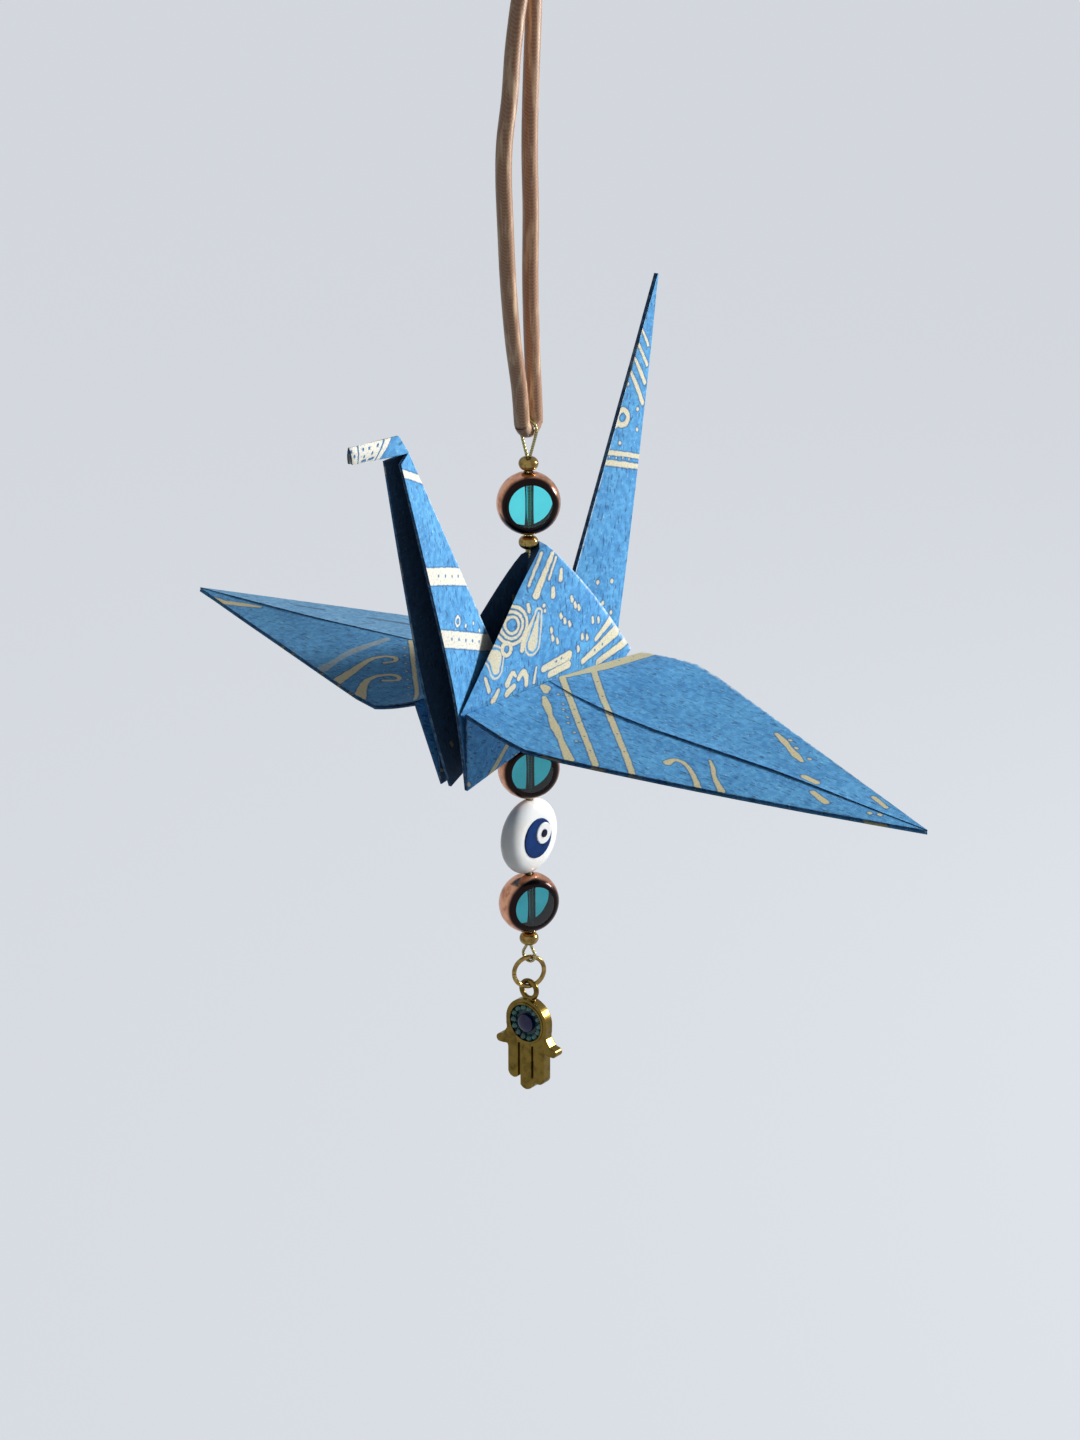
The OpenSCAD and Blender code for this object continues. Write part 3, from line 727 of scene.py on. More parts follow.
@dataclass(frozen=True)
class PrintedPaper:
    """Blue mottled craft paper with a cream and gold print, paler where it is folded: rubbed wear and a
    painted highlight on the lit fold edges.
    """

    name: str
    printed: SheetPrint
    shade: Colour = (0.012, 0.075, 0.200)
    blue: Colour = (0.045, 0.260, 0.570)
    light: Colour = (0.140, 0.500, 0.860)
    cream: Colour = (0.820, 0.720, 0.460)
    fibre: Colour = (0.420, 0.720, 0.920)
    worn_and_lit: Colour = (0.740, 0.860, 0.920)
    soft_edge: float = 0.09
    outline_gap: float = 0.45
    outline_half: float = 0.13
    waver: float = 0.28
    rim_half: float = 0.09
    faintness: float = 0.45
    deep_gold: float = 0.82
    rim_share: float = 0.6
    rub_share: float = 0.9

    def distance(self, bench: NodeBench, place: Value, motifs: tuple[Motif, ...]) -> bpy.types.NodeSocket:
        """Finds how far a place is from the nearest of some motifs.

        Args:
            bench: The material's nodes.
            place: The place on the flat sheet, in millimetres.
            motifs: What is printed there, at least one motif.

        Returns:
            The distance, below 0 inside a motif.
        """
        found = []
        for motif in motifs:
            if isinstance(motif, Stroke):
                node = bench.group("stroke_distance", Place=place, Start=(*motif.start, 0.0),
                                   End=(*motif.end, 0.0), Start_Radius=motif.start_r,
                                   End_Radius=motif.end_r)
            else:
                node = bench.group("ring_distance", Place=place, Centre=(*motif.centre, 0.0),
                                   Radius=motif.radius, Half_Width=motif.half_width)
            found.append(node["Distance"])
        return reduce(lambda nearest, other: bench.math("MINIMUM", nearest, other), found)

    def mask(self, bench: NodeBench, distance: Value) -> bpy.types.NodeSocket:
        """1 inside a motif, 0 outside, with a soft printed edge."""
        return bench.remap(distance, self.soft_edge, -self.soft_edge)

    def ink_masks(self, bench: NodeBench, moved: Value,
                  wear: Value) -> tuple[bpy.types.NodeSocket, bpy.types.NodeSocket]:
        """Works out where the ink lies and where its thin dark outline does.

        Args:
            bench: The material's nodes.
            moved: The place on the flat sheet, with the print's waver.
            wear: How much ink is left there.

        Returns:
            The share of ink and the share of outline, 0 to 1.
        """
        far = self.distance(bench, moved, self.printed.ink)
        ink = self.mask(bench, far)
        rim = bench.remap(far, self.rim_half * 3, self.rim_half)
        if self.printed.outlined:
            far = self.distance(bench, moved, self.printed.outlined)
            ink = bench.math("MAXIMUM", ink, self.mask(bench, far))
            line = bench.math("ABSOLUTE", bench.math("SUBTRACT", far, self.outline_gap))
            line = bench.math("SUBTRACT", line, self.outline_half)
            ink = bench.math("MAXIMUM", ink, self.mask(bench, line))
        if self.printed.blanks:
            left = self.mask(bench, self.distance(bench, moved, self.printed.blanks))
            ink = bench.math("MULTIPLY", ink, bench.math("SUBTRACT", 1.0, left))
        if self.printed.faint:
            trace = self.mask(bench, self.distance(bench, moved, self.printed.faint))
            left = bench.remap(wear, 0.4, 1.0, 0.0, self.faintness)
            ink = bench.math("MAXIMUM", ink, bench.math("MULTIPLY", trace, left))
        return bench.math("MULTIPLY", ink, wear), rim

    def make(self) -> bpy.types.Material:
        """Makes the material.

        Returns:
            Paper whose print follows the piece's UV map and whose folds follow its fold attribute.
        """
        bench = MaterialBench(self.name)
        place = bench.scale(bench.add("UVMap", {"uv_map": "sheet"}).outputs["UV"], SHEET_SPAN)
        sheet = bench.group("paper_sheet", Place=place, Waver=self.waver,
                            Shade=rgba(self.shade), Blue=rgba(self.blue), Light=rgba(self.light),
                            Fibre=rgba(self.fibre))
        ink, rim = self.ink_masks(bench, sheet["Moved"], sheet["Wear"])
        deep = tuple(part * self.deep_gold for part in self.cream)
        gold = bench.blend(sheet["Speck"], rgba(deep), rgba(self.cream))
        ground = bench.blend(bench.math("MULTIPLY", rim, self.rim_share), sheet["Ground"], rgba(self.shade))
        colour = bench.blend(ink, ground, gold)
        # Folds turn paler: partly rubbed wear, partly a painted highlight of their lit edges.
        fold = bench.add("Attribute", {"attribute_name": "fold"}).outputs["Fac"]
        rub = bench.math("MULTIPLY", bench.remap(fold, 0.1, 0.8), sheet["Rub"])
        colour = bench.blend(bench.math("MULTIPLY", rub, self.rub_share), colour, rgba(self.worn_and_lit))
        pulp = bench.math("MULTIPLY_ADD", ink, 0.35, sheet["Pulp"])
        return bench.dress(Base_Color=colour, Roughness=bench.math("MULTIPLY_ADD", ink, -0.22, 0.74),
                           Specular_IOR_Level=0.32, Sheen_Weight=0.06, Normal=bench.bump(pulp, 0.35, 0.05))


@dataclass(frozen=True)
class PaperEdge:
    """Cut edge of the paper, darkened by the ink of both its faces and by painted shade."""

    name: str = "paper_edge"
    core: Colour = (0.120, 0.260, 0.420)
    ink_and_shade: Colour = (0.015, 0.060, 0.150)

    def make(self) -> bpy.types.Material:
        """Makes the material."""
        bench = MaterialBench(self.name)
        place = bench.object_place()
        ink_and_shade_share = bench.remap(bench.noise(place, 1.4, 3.0), 0.35, 0.6)
        # Painted shade: the edge colours are darkened past the ink, so the ply edges read as a shadowed
        # line.
        colour = bench.blend(ink_and_shade_share, rgba(self.core), rgba(self.ink_and_shade))
        return bench.dress(Base_Color=colour, Roughness=0.85,
                           Normal=bench.bump(bench.noise(place, 9.0, 3.0), 0.4, 0.04))


@dataclass(frozen=True)
class SatinCord:
    """Satin cord: fine slanting threads with a soft bright sheen."""

    name: str = "satin_cord"
    tan: Colour = (0.420, 0.215, 0.105)
    brown: Colour = (0.270, 0.122, 0.058)
    cream: Colour = (0.760, 0.530, 0.330)
    coat: Colour = (1.0, 0.93, 0.82)
    sheen: Colour = (1.0, 0.86, 0.68)
    pitch: float = 0.42
    weft_pitch: float = 0.546

    def make(self) -> bpy.types.Material:
        """Makes the material, whose threads follow Object coordinates round the upright cord."""
        bench = MaterialBench(self.name)
        place = bench.object_place()
        wave = bench.stripes(place, (0.8, 0.8, 1.0), math.tau / self.pitch)
        weft = bench.stripes(place, (-0.9, 0.9, 1.0), math.tau / self.weft_pitch)
        threads = bench.math("MULTIPLY_ADD", weft, 0.35, wave)
        colour = bench.blend(bench.remap(threads, -1.2, 1.2), rgba(self.brown), rgba(self.tan))
        # The long cream streaks along the cord are painted highlights.
        long = bench.vector("MULTIPLY", place, (1.6, 1.6, 0.22))
        colour = bench.blend(bench.remap(bench.noise(long, 1.0, 3.0), 0.45, 0.75), colour, rgba(self.cream))
        return bench.dress(Base_Color=colour, Roughness=0.42, Specular_IOR_Level=0.5, Coat_Weight=0.3,
                           Coat_Roughness=0.38, Coat_IOR=1.8, Coat_Tint=rgba(self.coat), Sheen_Weight=0.3,
                           Sheen_Roughness=0.35, Sheen_Tint=rgba(self.sheen),
                           Normal=bench.bump(threads, 0.1, 0.05))


@dataclass(frozen=True)
class Plated:
    """Bright plated metal with faint cloudiness and fine scratches; near a window, if it has one, darkened
    by a painted reflection.
    """

    name: str
    bright: Colour
    deep: Colour
    roughness: float = 0.16
    cloud: float = 0.9
    dark: Colour | None = None
    unevenness: float = 0.16

    def make(self) -> bpy.types.Material:
        """Makes the material; its painted dark reflection follows the piece's near_window attribute."""
        bench = MaterialBench(self.name)
        metal = bench.group("metal_haze", Place=bench.object_place(), Cloud=self.cloud)
        colour = bench.blend(metal["Haze"], rgba(self.bright), rgba(self.deep))
        # Painted reflection: the plating darkens towards the window, as if it mirrored a dark room.
        if self.dark:
            near = bench.add("Attribute", {"attribute_name": "near_window"}).outputs["Fac"]
            colour = bench.blend(bench.remap(near, 0.15, 0.45), colour, rgba(self.dark))
        dull = bench.math("MULTIPLY_ADD", metal["Haze"], 0.5, metal["Fine"])
        rough = bench.remap(dull, 0.3, 1.2, self.roughness, self.roughness + self.unevenness)
        relief = bench.math("ADD", metal["Fine"], metal["Haze"])
        return bench.dress(Base_Color=colour, Metallic=1.0, Roughness=rough,
                           Normal=bench.bump(relief, 0.12, 0.02))


@dataclass(frozen=True)
class ClearGlass:
    """Clear coloured bead glass with slow swirls and a rippled polish."""

    name: str = "teal_bead_glass"
    tint: Colour = (0.03, 0.38, 0.44)
    deep: Colour = (0.02, 0.30, 0.36)

    def make(self) -> bpy.types.Material:
        """Makes the material."""
        bench = MaterialBench(self.name)
        melt = bench.group("glass_swirl", Place=bench.object_place(), Grain=0.35)
        return bench.dress(Base_Color=bench.blend(melt["Swirl"], rgba(self.tint), rgba(self.deep)),
                           Transmission_Weight=1.0, IOR=GLASS_IOR, Roughness=0.02,
                           Normal=bench.bump(melt["Ripple"], 0.05, 0.03))


@dataclass(frozen=True)
class FusedGlass:
    """Opaque bead glass: one colour, a little uneven, under a glossy skin."""

    name: str
    colour: Colour
    other: Colour
    roughness: float = 0.12
    gloss: float = 0.35
    glow: float = 0.0

    def make(self) -> bpy.types.Material:
        """Makes the material."""
        bench = MaterialBench(self.name)
        melt = bench.group("glass_swirl", Place=bench.object_place(), Grain=0.55)
        if self.glow:
            bench.dress(Subsurface_Weight=self.glow, Subsurface_Radius=(1.0, 0.9, 0.75),
                        Subsurface_Scale=0.6 * MM)
        return bench.dress(Base_Color=bench.blend(melt["Swirl"], rgba(self.colour), rgba(self.other)),
                           Roughness=self.roughness, IOR=GLASS_IOR, Specular_IOR_Level=self.gloss,
                           Normal=bench.bump(melt["Ripple"], 0.08, 0.03))


@dataclass(frozen=True)
class StringWire:
    """Gold coloured stringing wire, its fine strands showing through a clear coat."""

    name: str = "string_wire"
    gold: Colour = (0.46, 0.40, 0.17)
    groove: Colour = (0.15, 0.12, 0.05)

    def make(self) -> bpy.types.Material:
        """Makes the material."""
        bench = MaterialBench(self.name)
        strands = bench.stripes(bench.object_place(), (5.0, 5.0, 9.0), 2.0)
        colour = bench.blend(bench.remap(strands, -1.0, 0.3), rgba(self.groove), rgba(self.gold))
        return bench.dress(Base_Color=colour, Metallic=0.85, Roughness=0.3, Coat_Weight=0.4,
                           Normal=bench.bump(strands, 0.35, 0.03))


@dataclass
class Camera:
    """Camera at the photograph's viewing angle, found from the crane's fold points."""

    peak_z: float = -69.93
    azimuth: float = 37.7
    elevation: float = 18.7
    distance: float = 382.6
    focal_px: float = 3086.0
    image_height: float = 1440.0
    aside: float = 1.419
    below: float = 20.936
    sensor: float = 36.0
    clip: Flat = (0.01, 20.0)

    def axes(self) -> tuple[Vector, Vector, Vector]:
        """Right, up and back directions of the view."""
        turn, rise = math.radians(self.azimuth), math.radians(self.elevation)
        toward = Vector((math.cos(turn), math.sin(turn), 0.0))
        right = Vector((-math.sin(turn), math.cos(turn), 0.0))
        back = toward * math.cos(rise) + Vector((0, 0, math.sin(rise)))
        return right, back.cross(right), back

    def build(self) -> None:
        """Makes the camera and hands it to the scene."""
        right, up, back = self.axes()
        place = Vector((0, 0, self.peak_z)) + right * self.aside - up * self.below + back * self.distance
        data = bpy.data.cameras.new("photo_view")
        data.sensor_fit = "VERTICAL"
        data.sensor_height = self.sensor
        data.lens = self.sensor * self.focal_px / self.image_height
        data.clip_start, data.clip_end = self.clip
        camera = link(bpy.data.objects.new("photo_view", data))
        facing = Matrix((right, up, back)).transposed().to_4x4()
        camera.matrix_world = Matrix.Translation(place * MM) @ facing
        bpy.context.scene.camera = camera


@dataclass
class HangingCord:
    """Doubled satin cord: its bight in the wire's eye, its two ends in the knot."""

    diameter: float = 2.0
    route: tuple[Flat, ...] = (
        (-1.2, 1.0), (-1.1, -4.0), (-0.6, -12.0), (-0.3, -20.0), (-0.5, -28.0), (-0.4, -36.0),
        (-0.7, -44.0), (-1.1, -50.0), (-1.3, -53.2), (-1.2, -53.7), (-0.9, -54.1), (-0.5, -54.4),
        (0.0, -54.5), (0.5, -54.4), (0.9, -54.1), (1.2, -53.7), (1.3, -53.2), (1.8, -49.0),
        (3.0, -43.0), (3.9, -36.0), (4.4, -29.0), (4.7, -23.5), (4.5, -19.0), (3.5, -14.0),
        (2.9, -9.0), (2.0, -4.5), (1.3, -1.6), (1.2, 1.0),
    )
    route_steps: int = 6
    knot_height: float = 5.6
    knot_fit: float = 0.96
    strand_gap: float = 0.52
    strand_cross: float = 0.12
    tail_end: float = 7.0
    splay: float = 8.0
    wrap_turns: float = 2.6
    wrap_steps: int = 72
    wrap_x: float = 2.75
    wrap_y: float = 1.75
    wrap_inset: float = 1.15
    wrap_ease: float = 0.08
    wrap_start: float = 0.45

    def smooth(self, points: Sequence[Flat], y: float) -> list[Vector]:
        """Close points in metres on a smooth line through points at one depth, in millimetres."""
        return smooth_path([Vector((x, y, z)) * MM for x, z in points], self.route_steps)

    def wrap_path(self) -> list[Vector]:
        """Path of the wraps round the knot's two strands, drawn in at both ends."""
        low = self.route[0][1] + self.wrap_inset
        path = []
        for i in range(self.wrap_steps + 1):
            share = i / self.wrap_steps
            turn = math.tau * self.wrap_turns * share
            ease = min(1.0, share / self.wrap_ease, (1.0 - share) / self.wrap_ease)
            reach = self.wrap_start + (1.0 - self.wrap_start) * ease
            height = low + (self.knot_height - 2 * self.wrap_inset) * share
            x, y = self.wrap_x * reach * math.cos(turn), self.wrap_y * reach * math.sin(turn)
            path.append(Vector((x, y, height)) * MM)
        return path

    def knot_paths(self) -> list[list[Vector]]:
        """Paths of the knot: two strands that run through it to loose ends, and the wraps round them."""
        enter, low = self.route[-1]
        top = low + self.knot_height
        lean = math.tan(math.radians(self.splay))
        paths = []
        for side in (-1.0, 1.0):
            inner = side * self.diameter * self.strand_gap
            marks = [(side * enter, low - 0.3), (inner, low + 1.2), (inner, top - 0.8),
                     (inner + side * 0.2, top + 0.8), (inner + side * lean * 4.0, top + 3.6),
                     (inner + side * lean * self.tail_end, top + self.tail_end)]
            paths.append(self.smooth(marks, self.strand_cross * side))
        return [*paths, self.wrap_path()]

    def build(self) -> None:
        finish = SatinCord().make()
        path = self.smooth(self.route, 0.0)
        radius = self.diameter / 2 * MM
        strand = piece_from(tube(path, radius), "satin_strand", finish, sharp=50)
        settle(strand, Body.STRING, Slot.CORD, "hanging_cord")
        bm = joined([tube(line, radius * self.knot_fit) for line in self.knot_paths()])
        knot = piece_from(bm, "satin_knot", finish, sharp=50)
        settle(knot, Body.STRING, Slot.CORD, "cord_knot")
        length = sum((b - a).length for a, b in zip(path, path[1:]))
        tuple(path[0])


@dataclass
class BeadWire:
    """Doubled wire through the beads, with an eye round the cord and an eye for the jump ring."""

    wire_d: float = 0.4
    strand: float = 0.225
    top_eye_r: float = 1.26
    top_eye_z: float = -54.5
    top_wrap: float = 20.0
    crimp_top: float = -57.9
    crimp_end: float = -122.616
    end_eye_r: float = 0.95
    end_eye_z: float = -124.066
    end_wrap: float = 30.0
    eye_steps: int = 24

    def build(self) -> None:
        """Makes the wire as one closed loop."""
        top = arc((0.0, self.top_eye_z), (self.top_eye_r, self.top_eye_r), -self.top_wrap,
                  180 + self.top_wrap, self.eye_steps)
        end = arc((0.0, self.end_eye_z), (self.end_eye_r, self.end_eye_r), 180 - self.end_wrap,
                  360 + self.end_wrap, self.eye_steps)
        down = [(-self.strand, self.crimp_top), (-self.strand, self.crimp_end)]
        rise = [(self.strand, self.crimp_end), (self.strand, self.crimp_top)]
        path = [Vector((0.0, y, z)) * MM for y, z in top + down + end + rise]
        mesh = tube(path, self.wire_d / 2 * MM, cyclic=True, fineness=3)
        wire = piece_from(mesh, "bead_string_wire", StringWire().make(), sharp=60)
        settle(wire, Body.STRING, Slot.WIRE, "bead_wire")


@dataclass
class CrimpBeads:
    """Three small gold beads pressed round the wire."""

    diameter: float = 2.5
    height: float = 1.7
    bore_r: float = 0.455
    lip_r: float = 0.14
    heights: tuple[tuple[str, float], ...] = (
        ("top_crimp_bead", -58.75), ("peak_crimp_bead", -68.75), ("end_crimp_bead", -121.766))

    def build(self, finish: bpy.types.Material) -> None:
        """Turns each bead from a rounded profile with a bore.

        Args:
            finish: Gold plate.
        """
        half, rim = self.height / 2, self.diameter / 2
        outer = arc((rim - half, 0.0), (half, half), -90, 90, 14)
        lip = arc((self.bore_r + self.lip_r, half - self.lip_r), (self.lip_r, self.lip_r), 90, 180, 4)
        profile = outer + lip + mirrored(lip)
        for node, z in self.heights:
            bm = lathe(profile, closed=True, steps=48, place=Matrix.Translation((0, 0, z * MM)))
            settle(piece_from(bm, "gold_" + node, finish, sharp=60), Body.STRING, Slot.GOLD, node)


def drill(obj: bpy.types.Object, bore_r: float, z: float) -> None:
    """Cuts the upright bore through a bead.

    Args:
        obj: The bead, in place, still without modifiers.
        bore_r: Radius of the bore in millimetres.
        z: Height of the bead's centre in millimetres.
    """
    bm = bmesh.new()
    bmesh.ops.create_cone(bm, cap_ends=True, segments=32, radius1=bore_r * MM, radius2=bore_r * MM,
                          depth=DRILL_LENGTH * MM, matrix=Matrix.Translation((0, 0, z * MM)))
    bit = piece_from(bm, "drill_bit")
    cut = obj.modifiers.new("bore", "BOOLEAN")
    cut.operation = "DIFFERENCE"
    cut.object = bit
    cut.solver = "EXACT"
    cut_mesh = evaluated(obj)
    obj.modifiers.clear()
    obj.data = cut_mesh
    cut_mesh.set_sharp_from_angle(angle=math.radians(SHARP))
    bpy.data.objects.remove(bit, do_unlink=True)


@dataclass
class GlassBead:
    """Flat round glass bead with ground windows and a plated rim."""

    node: str
    body: Body
    z: float
    turn: float
    diameter: float = 8.0
    thickness: float = 4.0
    window_d: float = 5.4
    bevel: float = 0.1
    bore_r: float = 0.55
    plate_t: float = 0.05
    plate_clear: float = 0.12
    rim_steps: int = 24

    def build(self, glass: bpy.types.Material, plate: bpy.types.Material) -> None:
        """Makes the glass and its plating.

        Args:
            glass: Clear teal glass.
            plate: Copper plate.
        """
        flat, half, reach = self.window_d / 2, self.thickness / 2, (self.diameter - self.window_d) / 2
        inner, stand = self.plate_t, upright(self.z, self.turn)
        rim = arc((flat, 0.0), (reach, half), 90, -90, self.rim_steps)
        shape = arc((flat, 0.0), (reach - inner, half - inner), 90, -90, self.rim_steps)
        face = [(0.0, half), (flat * 0.5, half), (flat - self.bevel, half), (flat, half - inner)]
        bm = lathe(face + shape[1:-1] + mirrored(face), closed=False, place=stand)
        core = piece_from(bm, "glass_" + self.node, glass, sharp=35)
        drill(core, self.bore_r, self.z)
        settle(core, self.body, Slot.GLASS, self.node)
        shell = lathe(rim + shape[::-1], closed=True)
        near = shell.verts.layers.float.new("near_window")
        for vert in shell.verts:
            vert[near] = 1 - (vert.co.xy.length / MM - flat) / reach
        bmesh.ops.transform(shell, matrix=stand, verts=shell.verts)
        band = piece_from(shell, "plating_" + self.node, plate, sharp=40)
        drill(band, self.bore_r + self.plate_clear, self.z)
        settle(band, self.body, Slot.GLASS)


@dataclass
class EyeBead:
    """White glass bead with a blue, white and black eye fused on both faces."""

    z: float = -107.616
    turn: float = 88.0
    diameter: float = 10.0
    thickness: float = 3.0
    iris_d: float = 5.5
    blue_share: float = 0.96
    white_share: float = 0.52
    black_share: float = 0.2
    step: float = 0.12
    lip_share: float = 0.9
    bore_r: float = 0.55
    shift: float = 1.0
    rise: float = 0.45

    def disc(self, name: str, share: float, level: int, finish: bpy.types.Material) -> None:
        """Makes one fused disc on both faces; the discs above the first lie off its centre.

        Args:
            name: The piece's name.
            share: Its diameter as a share of the iris.
            level: Its place in the stack of discs, from 1.
            finish: Its glass.
        """
        r, lip = self.iris_d * share / 2, self.step * self.lip_share
        top = self.thickness / 2 + self.step * level
        low = top - self.step * 2
        edge = arc((r - lip, top - lip), (lip, lip), 80, 0, 5)
        face = [(0.0, top), (r * 0.5, top), (r - lip * 2, top)]
        bm = lathe([*face, *edge, (r, low), (0.0, low)], closed=False, steps=56)
        bmesh.ops.mirror(bm, geom=bm.verts[:] + bm.edges[:] + bm.faces[:], axis="Z", merge_dist=-1.0)
        bmesh.ops.recalc_face_normals(bm, faces=bm.faces)
        if level > 1:
            bmesh.ops.translate(bm, verts=bm.verts, vec=(-self.rise * MM, self.shift * MM, 0))
        bmesh.ops.transform(bm, matrix=upright(self.z, self.turn), verts=bm.verts)
        settle(piece_from(bm, name, finish, sharp=40), Body.EYE_BEAD, Slot.WHITE)

    def build(self) -> None:
        """Makes the bead and its discs."""
        white = FusedGlass("white_glass", (0.95, 0.94, 0.90), (0.91, 0.89, 0.83), glow=0.4).make()
        blue = FusedGlass("blue_glass", (0.003, 0.035, 0.160), (0.001, 0.015, 0.080), gloss=0.08).make()
        black = FusedGlass("black_glass", (0.004, 0.008, 0.030), (0.002, 0.004, 0.012), gloss=0.08).make()
        flat, half = self.iris_d / 2, self.thickness / 2
        rim = arc((flat, 0.0), (self.diameter / 2 - flat, half), 90, -90, 28)
        face = [(0.0, half), (flat * 0.5, half)]
        bm = lathe(face + rim + mirrored(face), closed=False, place=upright(self.z, self.turn))
        bead = piece_from(bm, "white_eye_bead", white, sharp=40)
        drill(bead, self.bore_r, self.z)
        settle(bead, Body.EYE_BEAD, Slot.WHITE, "eye_bead")
        self.disc("eye_blue_disc", self.blue_share, 1, blue)
        self.disc("eye_white_disc", self.white_share, 2, white)
        self.disc("eye_black_disc", self.black_share, 3, black)


@dataclass
class Charm:
    """Gold hand charm with its jump ring, its setting and its stones."""

    ring_r: float = 2.05
    ring_wire: float = 0.6
    ring_z: float = -126.506
    ring_turn: float = 57.0
    ring_cut: float = 0.12
    crown_z: float = -130.246
    palm_r: float = 3.3
    plate_t: float = 1.5
    setting_r: float = 2.6
    setting_depth: float = 0.4
    rim_gap: float = 0.08
    rim_radii: Flat = (0.16, 0.14)
    rim_lift: float = 0.02
    foil_top: float = 0.06
    foil_low: float = -0.04
    foil_gap: float = 0.02
    stone_d: float = 0.88
    stone_count: int = 14
    stone_gap: float = 0.03
    stone_sides: int = 8
    girdle_share: float = 0.8
    facet_h: float = 0.26
    centre_d: float = 2.5
    centre_dome: float = 0.5
    centre_lift: float = 0.03
    voxel: float = 0.075
    polish: int = 7

    def in_setting(self, y: float, z: float, lift: float) -> Matrix:
        """Matrix that lays a shape in the setting, its top facing the head direction.

        Args:
            y: Place across the setting.
            z: Place up the setting.
            lift: Height above the setting's floor.

        Returns:
            The matrix, in metres.
        """
        floor = self.plate_t / 2 - self.setting_depth
        place = Vector((floor + lift, y, self.crown_z - self.palm_r + z)) * MM
        return Matrix.Translation(place) @ Matrix.Rotation(math.pi / 2, 4, "Y")

    def build_ring(self, gold: bpy.types.Material) -> None:
        """Bends the jump ring from round wire, leaving its cut.

        Args:
            gold: Gold plate.
        """
        bm = bmesh.new()
        gap = self.ring_cut / self.ring_r
        start = Matrix.Rotation(gap / 2, 4, "Z") @ Matrix.Translation((self.ring_r * MM, 0, 0))
        made = bmesh.ops.create_circle(bm, cap_ends=False, segments=20, radius=self.ring_wire / 2 * MM,
                                       matrix=start @ Matrix.Rotation(math.pi / 2, 4, "X"))
        edges = list({edge for vert in made["verts"] for edge in vert.link_edges})
        bmesh.ops.spin(bm, geom=made["verts"] + edges, cent=(0, 0, 0), axis=(0, 0, 1), angle=math.tau - gap,
                       steps=72)
        bmesh.ops.holes_fill(bm, edges=[edge for edge in bm.edges if edge.is_boundary])
        bmesh.ops.recalc_face_normals(bm, faces=bm.faces)
        cut_side = Matrix.Rotation(-math.pi / 2, 4, "Z")
        bmesh.ops.transform(bm, matrix=upright(self.ring_z, self.ring_turn) @ cut_side, verts=bm.verts)
        settle(piece_from(bm, "gold_jump_ring", gold, sharp=45), Body.RING, Slot.GOLD, "jump_ring")

    def build_hand(self, gold: bpy.types.Material) -> None:
        """Rounds the hand's plate and loop into one soft cast shape.

        Args:
            gold: Gold plate.
        """
        bm = bmesh.new()
        bm.from_mesh(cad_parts["hamsa_charm"].data)
        bmesh.ops.remove_doubles(bm, verts=bm.verts, dist=WELD)
        block = piece_from(bm, "hand_block", gold)
        remesh = block.modifiers.new("cast", "REMESH")
        remesh.mode = "VOXEL"
        remesh.voxel_size = self.voxel * MM
        soften = block.modifiers.new("polish", "SMOOTH")
        soften.factor = 0.5
        soften.iterations = self.polish
        hand = piece_from(baked(block), "gold_hand_charm", gold, sharp=60)
        settle(hand, Body.CHARM, Slot.GOLD, "hamsa_charm")
        bead = arc((self.setting_r + self.rim_gap, 0.0), self.rim_radii, 0, 330, 11)
        place = self.in_setting(0, 0, self.setting_depth + self.rim_lift)
        bm = lathe(bead, closed=True, steps=72, place=place)
        settle(piece_from(bm, "setting_rim", gold, sharp=60), Body.CHARM, Slot.GOLD)

    def build_stones(self) -> None:
        """Sets the foil, the ring of cut stones and the domed centre stone."""
        foil = FusedGlass("setting_foil", (0.004, 0.060, 0.075), (0.002, 0.030, 0.045), 0.25).make()
        teal = FusedGlass("teal_stone", (0.030, 0.260, 0.220), (0.008, 0.090, 0.095), 0.04, 0.6).make()
        blue = FusedGlass("blue_stone", (0.002, 0.006, 0.120), (0.001, 0.002, 0.030), 0.05).make()
        reach, top, low = self.setting_r - self.foil_gap, self.foil_top, self.foil_low
        bm = lathe([(0.0, top), (reach, top), (reach, low), (0.0, low)], closed=False,
                   place=self.in_setting(0, 0, 0))
        settle(piece_from(bm, "setting_foil", foil), Body.CHARM, Slot.STONE)
        girdle, r = self.setting_depth * self.girdle_share, self.stone_d / 2
        row_r = self.setting_r - self.stone_gap - r
        bm = bmesh.new()
        for i in range(self.stone_count):
            angle = math.tau * i / self.stone_count
            y, z = row_r * math.cos(angle), row_r * math.sin(angle)
            for top_r, depth, lift in ((r, girdle, girdle / 2),
                                       (r / 2, self.facet_h, girdle + self.facet_h / 2)):
                bmesh.ops.create_cone(bm, cap_ends=True, segments=self.stone_sides, radius1=r * MM,
                                      radius2=top_r * MM, depth=depth * MM,
                                      matrix=self.in_setting(y, z, lift) @ Matrix.Rotation(angle, 4, "Z"))
        settle(piece_from(bm, "ring_of_stones", teal, sharp=8), Body.CHARM, Slot.STONE, "ring_stones")
        r = self.centre_d / 2
        profile = arc((0.0, self.setting_depth), (r, self.centre_dome), 90, 0, 10) + [(r, 0.0), (0.0, 0.0)]
        bm = lathe(profile, closed=False, steps=48, place=self.in_setting(0, 0, self.centre_lift))
        settle(piece_from(bm, "blue_centre_stone", blue, sharp=40), Body.CHARM, Slot.CENTRE, "centre_stone")


